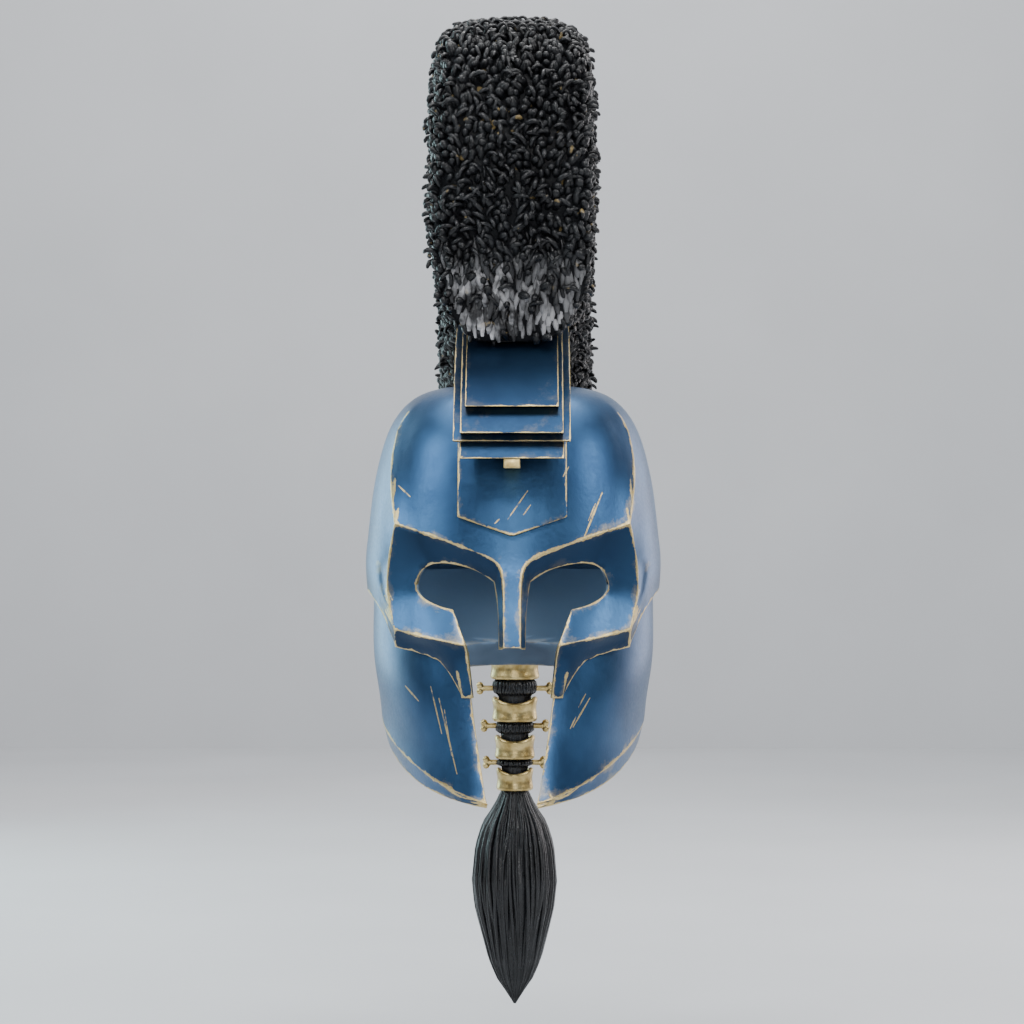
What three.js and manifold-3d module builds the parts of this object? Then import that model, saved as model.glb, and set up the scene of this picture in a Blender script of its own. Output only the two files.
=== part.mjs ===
// A crested Greek helmet of dark blue metal: a skull and face mask, a jaw guard that runs
// round the neck, a stepped crest holder on two pegs, a tall plume and a ringed tail of hair.
// Millimetres, +Z up, the face looks along -Y, +X is to the viewer's right. The origin is
// the inside of the crown, where the wearer's head holds the helmet up.
import * as THREE from 'three';
import Module from 'manifold-3d';

// Main sizes
const HALF_WIDTH = 110;
const REACH = 130;
const DROP = 300;
const WALL = 2.4;
const GAP = 0.3;

// Skull
const CROWN_RISE = 4.5;
const PLAN_CENTRE = 5;
const PLAN_POWER = 2.3;
const SIDE_STEPS = 8;
const SIDE_TOP_DROP = 104;
const SIDE_RIM_DROP = 147;
const SIDE_TOP_SHARE = 0.98;
const SIDE_SPREAD = 0.01;
const SIDE_BULGE = 0.016;
const SMOOTHING = 1.012;

// Forehead plate, crest holder and its pegs
const PLATE_HALF_WIDTH = 38.8;
const PLATE_THICKNESS = 2.8;
const PLATE_TOP_DROP = 30;
const PLATE_CORNER_DROP = 93.5;
const PLATE_POINT_DROP = 107;
const PLATE_POINT_BLUNT = 0.04;
const PLATE_GAP = 0.7;
const ARC_CENTRE_Y = 6;
const ARC_CENTRE_Z = -120;
const ARC_INNER = 158;
const ARC_STEPS = 16;
const HOLDER_BEVEL = 0.9;
const TIER_OVERLAP = 0.6;
const PEG_WIDTH = 11.6;
const PEG_HEIGHT = 6.6;
const PEG_SET_IN = 2;

// Plume
const PLUME_ROOT_HALF_WIDTH = 30;
const PLUME_HALF_WIDTH = 57;
const PLUME_HEIGHT = 202;
const PLUME_FLARE = 52;
const PLUME_SEAT = 1.4;
const LOCK_DEPTH = 2.6;
const GATHER_END = 0.35;

// Tail of hair with its rings and pins
const TAIL_Y = 168;
const TAIL_TOP_DROP = 206;
const TAIL_LENGTH = 279.3;
const BRUSH_RADIUS = 33.8;
const SWELL_ROUNDING = 3;
const TAIL_SEGMENTS = 16;
const STRAND_DEPTH = 0.05;
const RING_SEGMENTS = 14;
const PIN_SEGMENTS = 10;
const PIN_SHAFT_RADIUS = 2.3;
const PIN_KNOB_RADIUS = 3.1;
const PIN_KNOB_SPREAD = 2.4;

// Heights of the skull, each row: drop, half width, front reach, back reach as shares of
// DROP, HALF_WIDTH and REACH, and the turn in degrees from the front to the temple crease.
const skullRows = [
  [0.003, 0.49, 0.36, 0.42, 60],
  [0.033, 0.71, 0.6, 0.68, 63],
  [0.113, 0.865, 0.79, 0.87, 71],
  [0.243, 0.95, 0.905, 0.99, 53],
];

// Lines of the face from the middle to the temple crease, each point: side, drop, reach as
// shares of HALF_WIDTH, DROP and REACH. Empty places lie in the opening.
const browLine = [
  [0, 0.405, 1.0], [0.072, 0.424, 1.0], [0.152, 0.405, 0.977], [0.245, 0.392, 0.95],
  [0.336, 0.38, 0.92], [0.427, 0.367, 0.882], [0.532, 0.354, 0.83], [0.645, 0.341, 0.76],
  [0.755, 0.328, 0.675],
];
const eyeTopLine = [
  [0, 0.46, 1.005], [0.058, 0.462, 1.003], [0.117, 0.464, 0.93], [0.208, 0.441, 0.88],
  [0.29, 0.43, 0.855], [0.384, 0.4225, 0.825], [0.476, 0.419, 0.795], [0.585, 0.43, 0.75],
  [0.8, 0.408, 0.62],
];
const eyeMiddleLine = [
  [0, 0.51, 1.01], [0.055, 0.51, 1.008], [0.094, 0.515, 0.94], null,
  null, null, null, [0.634, 0.473, 0.72],
  [0.815, 0.472, 0.6],
];
const eyeLowLine = [
  [0, 0.56, 1.018], [0.055, 0.56, 1.016], [0.088, 0.562, 0.95], null,
  [0.382, 0.53, 0.85], [0.462, 0.524, 0.815], [0.541, 0.512, 0.78], [0.603, 0.496, 0.745],
  [0.8, 0.525, 0.625],
];
const cheekRidgeLine = [
  [0, 0.617, 1.02], [0.055, 0.617, 1.02], [0.086, 0.622, 0.965], null,
  [0.3, 0.612, 0.97], [0.398, 0.605, 0.94], [0.516, 0.598, 0.89], [0.635, 0.59, 0.815],
  [0.755, 0.578, 0.71],
];
const underRidgeLine = [
  null, null, null, null,
  [0.286, 0.627, 0.945], [0.368, 0.626, 0.915], [0.478, 0.622, 0.85], [0.61, 0.613, 0.765],
  [0.76, 0.602, 0.675],
];
const maskFootLine = [
  null, null, null, null,
  [0.253, 0.737, 0.925], [0.325, 0.737, 0.9], [0.418, 0.661, 0.845], [0.57, 0.638, 0.755],
  [0.765, 0.622, 0.65],
];

// Jaw guard from its front edge to the middle of the back, each point: side, drop, reach
// as shares of HALF_WIDTH, DROP and REACH.
const guardTopLine = [
  [0.288, 0.63, 0.865], [0.42, 0.625, 0.81], [0.555, 0.605, 0.715], [0.69, 0.57, 0.575],
  [0.865, 0.49, 0.3], [0.972, 0.45, -0.04], [0.922, 0.45, -0.425], [0.708, 0.45, -0.75],
  [0.39, 0.45, -0.945], [0, 0.45, -1.01],
];
const guardWaistLine = [
  [0.266, 0.737, 0.865], [0.41, 0.737, 0.85], [0.555, 0.73, 0.775], [0.725, 0.71, 0.6],
  [0.885, 0.68, 0.31], [0.978, 0.65, -0.04], [0.93, 0.62, -0.42], [0.72, 0.595, -0.71],
  [0.38, 0.58, -0.88], [0, 0.575, -0.94],
];
const guardCreaseLine = [
  [0.17, 0.986, 0.925], [0.33, 0.962, 0.9], [0.525, 0.928, 0.75], [0.71, 0.885, 0.49],
  [0.85, 0.835, 0.2], [0.905, 0.79, -0.09], [0.885, 0.735, -0.43], [0.69, 0.67, -0.7],
  [0.36, 0.64, -0.85], [0, 0.634, -0.9],
];
const guardFootLine = [
  [0.167, 0.992, 0.918], [0.335, 0.982, 0.865], [0.53, 0.966, 0.7], [0.705, 0.932, 0.44],
  [0.83, 0.884, 0.165], [0.88, 0.84, -0.105], [0.885, 0.782, -0.46], [0.73, 0.722, -0.76],
  [0.4, 0.702, -0.96], [0, 0.696, -1.04],
];

// Tiers of the crest holder from the inside out, each: thickness, half width, drop of its
// level ends.
const tierRows = [[8.5, 36.3, 52.6], [5, 40.9, 40.5], [7, 35.8, 35], [7, 32.4, 16.5]];

// Plume round the arc, each row: turn in degrees from the front, height and half width as
// shares of PLUME_HEIGHT and PLUME_HALF_WIDTH.
const plumeRows = [
  [51.5, 0.03, 0.9], [54, 0.22, 1], [57.5, 0.45, 1], [61, 0.67, 1], [65.5, 0.9, 1],
  [70.5, 1, 1], [78, 1, 1], [87, 0.97, 1], [97, 0.92, 1], [108, 0.83, 1.01],
  [120, 0.72, 1.04], [132, 0.61, 1.06], [144, 0.5, 1.08], [156, 0.4, 1.08],
  [167, 0.31, 1.02], [177, 0.23, 0.86],
];
// The last rows gather the hair into the first ring, each: turn, rise of the pivot above
// the top of the tail as a share of the tail's length, height and half width as shares of
// the ring's radius, middle of the hair behind the tail's axis as a share of that radius.
const gatherRows = [
  [183, 0.2, 1.5, 1.75, 0.68],
  [181, 0.1, 1.12, 1.2, 0.24],
  [180, 0, 0.92, 0.92, 0],
];

// Brush below the rings, each row: way down and radius as shares of the brush's length and
// of BRUSH_RADIUS.
const brushRows = [
  [0.02, 0.345], [0.08, 0.5], [0.155, 0.75], [0.26, 0.92], [0.42, 1], [0.54, 0.935],
  [0.66, 0.785], [0.795, 0.61], [0.88, 0.42], [0.95, 0.175], [1, 0.03],
];
// Radius of the hair where it swells below the first three rings
const swells = [17.3, 14.9, 14.6];
// Rings, each: way from the top of the tail down to the ring's top at its sides, dip of the
// top at the front, height at the front, bore and outer radius.
const rings = [
  [0.5, 0.6, 17.3, 15.6, 20.6],
  [31.6, 5.6, 15.2, 13.9, 19.0],
  [62.6, 5.0, 14.9, 11.9, 16.9],
  [88.8, 5.0, 14.0, 11.2, 15.5],
];
// Ring outline from the bore at the foot round the outside, each: way up, way out as shares.
const ringOutline = [[0, 0], [0, 0.65], [0.12, 0.95], [0.5, 0.5], [0.88, 1], [1, 0.65], [1, 0]];
// Pins, each: way down from the top of the tail, and half length.
const pins = [[25.8, 31.2], [55.9, 27.9], [85.4, 26.1]];

// Colours of the three surfaces
const METAL = { color: 0x35587f, metalness: 0.9, roughness: 0.38 };
const BRONZE = { color: 0xb39a5a, metalness: 0.95, roughness: 0.35 };
const HAIR = { color: 0x16181b, metalness: 0, roughness: 0.6 };

// Slack for a place that lies on the side of a triangle
const NEAR = 1e-4;

const radians = THREE.MathUtils.degToRad;
const lerp = THREE.MathUtils.lerp;

// Each tier with its inner and outer radius, half width and drop of its ends
const tiers = [];
tierRows.forEach(([thickness, halfWidth, drop], i) => {
  const inner = i ? tiers[i - 1][1] : ARC_INNER;
  tiers.push([inner, inner + thickness, halfWidth, drop]);
});

// A key for the edge between two points, the same from both sides
function edgeKey(a, b) {
  return a < b ? `${a}_${b}` : `${b}_${a}`;
}

// One round of Catmull-Clark smoothing that keeps the creased edges sharp
function smoothNet(net) {
  const centres = net.faces.map((face) => face
    .reduce((sum, i) => sum.add(net.points[i]), new THREE.Vector3())
    .divideScalar(face.length));
  const edges = new Map();
  const around = net.points.map(() => ({ faces: [], edges: [] }));
  net.faces.forEach((face, f) => face.forEach((a, k) => {
    const b = face[(k + 1) % face.length];
    const key = edgeKey(a, b);
    if (!edges.has(key)) {
      edges.set(key, { a, b, faces: [] });
      around[a].edges.push(key);
      around[b].edges.push(key);
    }
    edges.get(key).faces.push(f);
    around[a].faces.push(f);
  }));
  const points = net.points.map((point, i) => {
    const own = around[i];
    const sharp = own.edges.filter((key) => net.creases.has(key));
    const far = (key) => net.points[edges.get(key).a === i ? edges.get(key).b : edges.get(key).a];
    if (sharp.length > 2) return point.clone();
    if (sharp.length === 2) {
      return point.clone().multiplyScalar(6).add(far(sharp[0])).add(far(sharp[1])).divideScalar(8);
    }
    const count = own.faces.length;
    const faceMean = new THREE.Vector3();
    const edgeMean = new THREE.Vector3();
    own.faces.forEach((f) => faceMean.add(centres[f]));
    own.edges.forEach((key) => edgeMean.add(far(key)).add(point));
    return faceMean.divideScalar(count).add(edgeMean.divideScalar(count))
      .addScaledVector(point, count - 3).divideScalar(count);
  });
  const creases = new Set();
  const middles = new Map();
  edges.forEach((edge, key) => {
    const middle = net.points[edge.a].clone().add(net.points[edge.b]);
    if (net.creases.has(key)) middle.divideScalar(2);
    else edge.faces.forEach((f) => middle.add(centres[f]));
    if (!net.creases.has(key)) middle.divideScalar(2 + edge.faces.length);
    middles.set(key, points.push(middle) - 1);
    if (net.creases.has(key)) {
      creases.add(edgeKey(edge.a, middles.get(key)));
      creases.add(edgeKey(edge.b, middles.get(key)));
    }
  });
  const faces = [];
  net.faces.forEach((face, f) => {
    const centre = points.push(centres[f]) - 1;
    face.forEach((a, k) => {
      const next = face[(k + 1) % face.length];
      const last = face[(k + face.length - 1) % face.length];
      faces.push([a, middles.get(edgeKey(a, next)), centre, middles.get(edgeKey(last, a))]);
    });
  });
  return { points, faces, creases };
}

// Gives an open net a wall on its inner side and closes it along its borders
function thicken(net, wall, corners) {
  const normals = net.points.map(() => new THREE.Vector3());
  const borders = new Map();
  net.faces.forEach((face) => face.forEach((a, k) => {
    const b = face[(k + 1) % face.length];
    const c = face[(k + face.length - 1) % face.length];
    const one = net.points[b].clone().sub(net.points[a]);
    const two = net.points[c].clone().sub(net.points[a]);
    normals[a].add(one.cross(two).normalize());
    if (borders.has(edgeKey(a, b))) borders.delete(edgeKey(a, b));
    else borders.set(edgeKey(a, b), [a, b]);
  }));
  const count = net.points.length;
  const inner = net.points.map((point, i) => point.clone()
    .addScaledVector(normals[i].normalize(), -wall));
  const faces = net.faces.concat(net.faces.map((face) => face.map((i) => i + count).reverse()));
  const creases = new Set(net.creases);
  net.creases.forEach((key) => {
    const [a, b] = key.split('_').map(Number);
    creases.add(edgeKey(a + count, b + count));
  });
  borders.forEach(([a, b]) => {
    faces.push([b, a, a + count, b + count]);
    creases.add(edgeKey(a, b));
    creases.add(edgeKey(a + count, b + count));
  });
  corners.forEach((i) => creases.add(edgeKey(i, i + count)));
  return { points: net.points.concat(inner), faces, creases };
}

// Drops the points that no face uses
function compact(net) {
  const used = new Map();
  const points = [];
  const place = (i) => {
    if (!used.has(i)) used.set(i, points.push(net.points[i]) - 1);
    return used.get(i);
  };
  const faces = net.faces.map((face) => face.map(place));
  const creases = new Set();
  net.creases.forEach((key) => {
    const [a, b] = key.split('_').map(Number);
    if (used.has(a) && used.has(b)) creases.add(edgeKey(used.get(a), used.get(b)));
  });
  return { points, faces, creases, used };
}

// Turns a closed net's faces outward
function outward(net) {
  let volume = 0;
  net.faces.forEach((face) => {
    const [a, b, c, d] = face.map((i) => net.points[i]);
    volume += a.dot(b.clone().cross(c));
    if (d) volume += a.dot(c.clone().cross(d));
  });
  return volume > 0 ? net.faces : net.faces.map((face) => face.slice().reverse());
}

// Triangles of a closed net, each four-sided face split along its shorter diagonal
function netGeometry(net) {
  const index = [];
  outward(net).forEach(([a, b, c, d]) => {
    if (d === undefined) index.push(a, b, c);
    else if (net.points[a].distanceTo(net.points[c]) <= net.points[b].distanceTo(net.points[d])) {
      index.push(a, b, c, a, c, d);
    } else index.push(a, b, d, b, c, d);
  });
  const geometry = new THREE.BufferGeometry();
  const flat = net.points.flatMap((point) => point.toArray());
  geometry.setAttribute('position', new THREE.Float32BufferAttribute(flat, 3));
  geometry.setIndex(index);
  return geometry;
}

// Face net of the skull and mask: rows from the crown down, columns from the middle of the
// face round to the middle of the back and home again on the other side
function skullNet() {
  const lines = [browLine, eyeTopLine, eyeMiddleLine, eyeLowLine, cheekRidgeLine,
    underRidgeLine, maskFootLine];
  const temple = browLine.length - 1;
  const half = temple + SIDE_STEPS;
  const around = half * 2;
  const first = skullRows.length;
  const last = first + lines.length - 1;

  const plan = (turn, width, front, back) => {
    const angle = radians(turn);
    const power = 2 / PLAN_POWER;
    const side = Math.abs(Math.sin(angle)) ** power * width;
    const along = Math.abs(Math.cos(angle)) ** power;
    return [side, Math.cos(angle) > 0 ? PLAN_CENTRE - along * front : PLAN_CENTRE + along * back];
  };
  const domePoint = (row, column) => {
    const [drop, width, front, back, templeTurn] = skullRows[row];
    const turn = column <= temple ? templeTurn * (column / temple)
      : lerp(templeTurn, 180, (column - temple) / SIDE_STEPS);
    const [x, y] = plan(turn, width * HALF_WIDTH * SMOOTHING, front * REACH * SMOOTHING,
      back * REACH * SMOOTHING);
    return new THREE.Vector3(x, y, CROWN_RISE - drop * DROP);
  };
  const sidePoint = (row, column) => {
    const share = (row - first) / (last - first);
    const step = (column - temple) / SIDE_STEPS;
    const corner = lines[0][temple];
    const base = Math.atan2(corner[0] * HALF_WIDTH, corner[2] * REACH + PLAN_CENTRE);
    const start = THREE.MathUtils.radToDeg(base);
    const belly = SIDE_BULGE * Math.sin(share * Math.PI);
    const bulge = SMOOTHING * (SIDE_TOP_SHARE + belly + SIDE_SPREAD * share);
    const [x, y] = plan(lerp(start, 180, step), HALF_WIDTH * bulge, REACH * bulge, REACH * bulge);
    const sweep = Math.max(0, 1 - (column - temple) / 2) ** 2;
    const rim = lerp(SIDE_RIM_DROP, maskFootLine[temple][1] * DROP, sweep);
    const top = lerp(SIDE_TOP_DROP, browLine[temple][1] * DROP, sweep);
    return new THREE.Vector3(x, y, -lerp(top, rim, share));
  };
  const facePoint = (row, column) => {
    const [side, drop, reach] = lines[row - first][column] ?? [0, 0, 0];
    return new THREE.Vector3(side * HALF_WIDTH, -reach * REACH, -drop * DROP);
  };

  const points = [new THREE.Vector3(0, 0, CROWN_RISE)];
  for (let row = 0; row <= last; row += 1) {
    for (let k = 0; k < around; k += 1) {
      const column = k <= half ? k : around - k;
      const make = row < first ? domePoint : column <= temple ? facePoint : sidePoint;
      const point = make(row, column);
      if (k > half) point.x = -point.x;
      if (column === half) point.x = 0;
      points.push(point);
    }
  }
  const at = (row, k) => 1 + row * around + ((k + around) % around);
  // Rows of the lines below the brow, counted from the crown
  const [eyeTop, eyeLow, ridge] = [first + 1, first + 3, first + 4];
  const open = (row, column) => (row >= eyeTop && row < eyeLow && column > 1 && column < 7)
    || (row >= eyeLow && column > 1 && column < 4)
    || (row >= ridge && column < 2);
  const faces = [];
  for (let k = 0; k < around; k += 1) faces.push([0, at(0, k), at(0, k + 1)]);
  for (let row = 0; row < last; row += 1) {
    for (let k = 0; k < around; k += 1) {
      const column = k < half ? k : around - 1 - k;
      if (!open(row, column)) {
        faces.push([at(row, k), at(row + 1, k), at(row + 1, k + 1), at(row, k + 1)]);
      }
    }
  }
  const creases = new Set();
  const mirror = (rowA, kA, rowB, kB) => {
    creases.add(edgeKey(at(rowA, kA), at(rowB, kB)));
    creases.add(edgeKey(at(rowA, -kA), at(rowB, -kB)));
  };
  for (let k = 1; k < temple; k += 1) mirror(first, k, first, k + 1);
  for (let k = 4; k < temple; k += 1) mirror(ridge, k, ridge, k + 1);
  for (let row = first; row < ridge; row += 1) mirror(row, 1, row + 1, 1);
  for (let row = 2; row < last; row += 1) mirror(row, temple, row + 1, temple);
  const corners = [[eyeTop, 2], [eyeLow, 4], [ridge, 1], [ridge, 2], [last, 4], [last, 5],
    [ridge, 4], [last, temple]].flatMap(([row, k]) => [at(row, k), at(row, -k)]);
  return { points, faces, creases, corners };
}

// Net of the jaw guard from one front edge round the neck to the other
function guardNet() {
  const lines = [guardTopLine, guardWaistLine, guardCreaseLine, guardFootLine];
  const half = guardTopLine.length - 1;
  const place = ([side, drop, reach], sign) => new THREE.Vector3(side * sign * HALF_WIDTH,
    -reach * REACH, -drop * DROP);
  const rowOf = (line) => {
    const right = line.map((entry) => place(entry, 1));
    const left = line.slice(0, half).map((entry) => place(entry, -1));
    return right.concat(left.reverse());
  };
  const main = lines.map(rowOf);
  const between = (one, two, share) => one.map((point, i) => point.clone().lerp(two[i], share));
  const rows = [main[0], between(main[0], main[1], 0.5), main[1],
    between(main[1], main[2], 0.5), main[2], main[3]];
  const wide = half * 2 + 1;
  const points = rows.flat();
  const at = (row, k) => row * wide + k;
  const faces = [];
  for (let row = 0; row + 1 < rows.length; row += 1) {
    for (let k = 0; k + 1 < wide; k += 1) {
      faces.push([at(row, k), at(row + 1, k), at(row + 1, k + 1), at(row, k + 1)]);
    }
  }
  const creases = new Set();
  const creaseRow = rows.length - 2;
  for (let k = 0; k + 1 < wide; k += 1) {
    creases.add(edgeKey(at(creaseRow, k), at(creaseRow, k + 1)));
  }
  const corners = [at(0, 0), at(0, wide - 1), at(rows.length - 1, 0), at(rows.length - 1, wide - 1)];
  return { points, faces, creases, corners };
}

// Smooth solid shell from an open net
function shell(net, wall) {
  const small = compact(net);
  const corners = net.corners.filter((i) => small.used.has(i)).map((i) => small.used.get(i));
  return smoothNet(thicken(small, wall, corners));
}

// How far forward a net's surface lies at a place of the front view
function frontAt(net, x, z) {
  let found = 0;
  const test = (a, b, c) => {
    const area = (b.x - a.x) * (c.z - a.z) - (b.z - a.z) * (c.x - a.x);
    if (area === 0) return;
    const u = ((b.x - x) * (c.z - z) - (b.z - z) * (c.x - x)) / area;
    const v = ((c.x - x) * (a.z - z) - (c.z - z) * (a.x - x)) / area;
    if (u < -NEAR || v < -NEAR || u + v > 1 + NEAR) return;
    found = Math.min(found, a.y * u + b.y * v + c.y * (1 - u - v));
  };
  net.faces.forEach(([a, b, c, d]) => {
    test(net.points[a], net.points[b], net.points[c]);
    test(net.points[a], net.points[c], net.points[d]);
  });
  return found;
}

// Closed body between two grids of points of the same size
function slab(front, back) {
  const rows = front.length;
  const wide = front[0].length;
  const points = front.flat().concat(back.flat());
  const at = (row, k) => row * wide + k;
  const under = rows * wide;
  const faces = [];
  for (let row = 0; row + 1 < rows; row += 1) {
    for (let k = 0; k + 1 < wide; k += 1) {
      const face = [at(row, k), at(row + 1, k), at(row + 1, k + 1), at(row, k + 1)];
      faces.push(face, face.map((i) => i + under).reverse());
    }
  }
  const border = [];
  for (let k = 0; k + 1 < wide; k += 1) border.push([at(0, k), at(0, k + 1)]);
  for (let row = 0; row + 1 < rows; row += 1) border.push([at(row, wide - 1), at(row + 1, wide - 1)]);
  for (let k = wide - 1; k > 0; k -= 1) border.push([at(rows - 1, k), at(rows - 1, k - 1)]);
  for (let row = rows - 1; row > 0; row -= 1) border.push([at(row, 0), at(row - 1, 0)]);
  border.forEach(([a, b]) => faces.push([a, b, b + under, a + under]));
  return { points, faces, creases: new Set() };
}

// Raised plate on the forehead, pointed at its foot
function plateNet(skull) {
  const columns = [-1, -0.66, -0.33, -PLATE_POINT_BLUNT, PLATE_POINT_BLUNT, 0.33, 0.66, 1];
  const rows = [0, 0.13, 0.26, 0.38, 0.5, 0.62, 0.74, 0.87, 1];
  const grid = (lift) => rows.map((row) => columns.map((column) => {
    const foot = lerp(PLATE_POINT_DROP, PLATE_CORNER_DROP, Math.abs(column));
    const x = column * PLATE_HALF_WIDTH;
    const z = -lerp(PLATE_TOP_DROP, foot, row);
    return new THREE.Vector3(x, frontAt(skull, x, z) - lift, z);
  }));
  return slab(grid(PLATE_GAP + PLATE_THICKNESS), grid(PLATE_GAP));
}

// Closed body through rings of points, each end closed by a middle point
function loft(sections) {
  const wide = sections[0].length;
  const points = sections.flat();
  const faces = [];
  for (let row = 0; row + 1 < sections.length; row += 1) {
    for (let k = 0; k < wide; k += 1) {
      const next = (k + 1) % wide;
      faces.push([row * wide + k, row * wide + next, (row + 1) * wide + next, (row + 1) * wide + k]);
    }
  }
  const middle = (ring) => ring.reduce((sum, p) => sum.add(p), new THREE.Vector3())
    .divideScalar(wide);
  const start = points.push(middle(sections[0])) - 1;
  const end = points.push(middle(sections[sections.length - 1])) - 1;
  const base = (sections.length - 1) * wide;
  for (let k = 0; k < wide; k += 1) {
    const next = (k + 1) % wide;
    faces.push([start, next, k], [end, base + k, base + next]);
  }
  return { points, faces, creases: new Set() };
}

// Plume: sections across the arc, narrow at the root and flared outward, with the hair in
// locks that stand out and lie in by turns
function plumeNet() {
  const root = tiers[tiers.length - 1][1] + PLUME_SEAT;
  // Half outline from the root out to the crest, each: way out and way to the side
  const outline = [[0, 0.34], [0, 0.8], [0.1, 1], [0.28, 1], [0.46, 1], [0.64, 1], [0.82, 1],
    [0.95, 0.93], [1, 0.68], [1, 0.3]];
  const full = outline.map(([out, side]) => [out, side])
    .concat(outline.map(([out, side]) => [out, -side]).reverse());
  const sections = [];
  const flare = (out) => lerp(PLUME_ROOT_HALF_WIDTH / PLUME_HALF_WIDTH, 1,
    1 - (1 - Math.min(1, out / PLUME_FLARE)) ** 2);
  plumeRows.forEach(([turn, height, width], row) => {
    const angle = radians(turn);
    sections.push(full.map(([out, side], k) => {
      const lock = (row + k) % 2 ? LOCK_DEPTH : -LOCK_DEPTH;
      const reach = out * height * PLUME_HEIGHT;
      const radius = root + reach + (reach > PLUME_FLARE / 4 ? lock : 0);
      const x = side * width * PLUME_HALF_WIDTH * flare(reach)
        + Math.sign(side) * (reach > PLUME_FLARE / 4 ? lock : 0);
      return new THREE.Vector3(x, ARC_CENTRE_Y - Math.cos(angle) * radius,
        ARC_CENTRE_Z + Math.sin(angle) * radius);
    }));
  });
  const ringRadius = rings[0][4];
  gatherRows.forEach(([turn, rise, height, width, behind]) => {
    const angle = radians(turn);
    const pivotZ = -TAIL_TOP_DROP + rise * TAIL_LENGTH;
    const middle = TAIL_Y - ARC_CENTRE_Y + behind * ringRadius;
    sections.push(full.map(([out, side]) => {
      const way = out * 2 - 1;
      const round = Math.max(GATHER_END, Math.sqrt(1 - way ** 2));
      const radius = middle + way * height * ringRadius;
      return new THREE.Vector3(side * round * width * ringRadius,
        ARC_CENTRE_Y - Math.cos(angle) * radius, pivotZ + Math.sin(angle) * radius);
    }));
  });
  return loft(sections);
}

// Tail of hair: a round bundle through the rings that swells between them and opens into a
// leaf-shaped brush
function tailNet() {
  const stations = [];
  rings.forEach(([down, dip, height, bore], i) => {
    const foot = down + dip + height;
    stations.push([i ? down - GAP : GAP, bore - GAP * 2, 0]);
    stations.push([foot + GAP, bore - GAP * 2, 0]);
    if (i < swells.length) {
      stations.push([foot + SWELL_ROUNDING, swells[i], 0]);
      stations.push([rings[i + 1][0] - SWELL_ROUNDING, swells[i], 0]);
    } else {
      brushRows.forEach(([way, radius]) => {
        stations.push([lerp(foot, TAIL_LENGTH, way), radius * BRUSH_RADIUS, STRAND_DEPTH]);
      });
    }
  });
  return loft(stations.map(([down, radius, strand]) => {
    const ring = [];
    for (let k = 0; k < TAIL_SEGMENTS; k += 1) {
      const angle = (k / TAIL_SEGMENTS) * Math.PI * 2;
      const out = radius * (1 + (k % 2 ? strand : -strand));
      ring.push(new THREE.Vector3(Math.cos(angle) * out, TAIL_Y - Math.sin(angle) * out,
        -TAIL_TOP_DROP - down));
    }
    return ring;
  }));
}

// Waisted ring with a top edge that dips at the front and the back
function ringNet([down, dip, height, bore, outer]) {
  const points = [];
  const faces = [];
  const wide = ringOutline.length;
  for (let k = 0; k < RING_SEGMENTS; k += 1) {
    const angle = (k / RING_SEGMENTS) * Math.PI * 2;
    const top = -TAIL_TOP_DROP - down - dip * Math.sin(angle) ** 2;
    const foot = -TAIL_TOP_DROP - down - dip - height;
    ringOutline.forEach(([up, out]) => {
      const radius = lerp(bore, outer, out);
      points.push(new THREE.Vector3(Math.cos(angle) * radius, TAIL_Y - Math.sin(angle) * radius,
        lerp(foot, top, up)));
    });
    const next = ((k + 1) % RING_SEGMENTS) * wide;
    for (let j = 0; j < wide; j += 1) {
      const beyond = (j + 1) % wide;
      faces.push([k * wide + j, k * wide + beyond, next + beyond, next + j]);
    }
  }
  return { points, faces, creases: new Set() };
}

// Side outline of one tier: an arc band whose two ends are cut level
function tierShape([inner, outer, , drop]) {
  const level = -drop - ARC_CENTRE_Z;
  const shape = new THREE.Shape();
  const start = Math.asin(level / outer);
  const back = Math.asin(level / inner);
  for (let k = 0; k <= ARC_STEPS; k += 1) {
    const angle = lerp(start, Math.PI - start, k / ARC_STEPS);
    const point = [Math.cos(angle) * outer, Math.sin(angle) * outer];
    if (k === 0) shape.moveTo(...point);
    else shape.lineTo(...point);
  }
  for (let k = 0; k <= ARC_STEPS; k += 1) {
    const angle = lerp(Math.PI - back, back, k / ARC_STEPS);
    shape.lineTo(Math.cos(angle) * inner, Math.sin(angle) * inner);
  }
  shape.closePath();
  return shape;
}

// Turns a solid so that its outline lies in the side view and its depth runs across
function acrossHelmet(geometry, halfWidth) {
  const across = new THREE.Matrix4().set(0, 0, 1, -halfWidth, 1, 0, 0, 0, 0, 1, 0, 0, 0, 0, 0, 1);
  return geometry.applyMatrix4(across);
}

const wasm = await Module();
wasm.setup();

// Solid for joining and cutting, with points of the same place made one
function solidOf(geometry) {
  const position = geometry.getAttribute('position');
  const known = new Map();
  const flat = [];
  const remap = [];
  for (let i = 0; i < position.count; i += 1) {
    const point = [position.getX(i), position.getY(i), position.getZ(i)];
    const key = point.map((value) => Math.round(value * 1e4)).join('_');
    if (!known.has(key)) known.set(key, flat.push(...point) / 3 - 1);
    remap.push(known.get(key));
  }
  const source = geometry.index ? Array.from(geometry.index.array) : remap.map((_, i) => i);
  const index = [];
  for (let i = 0; i < source.length; i += 3) {
    const [a, b, c] = [remap[source[i]], remap[source[i + 1]], remap[source[i + 2]]];
    if (a !== b && b !== c && c !== a) index.push(a, b, c);
  }
  const mesh = new wasm.Mesh({
    numProp: 3,
    vertProperties: new Float32Array(flat),
    triVerts: new Uint32Array(index),
  });
  return new wasm.Manifold(mesh);
}

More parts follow.
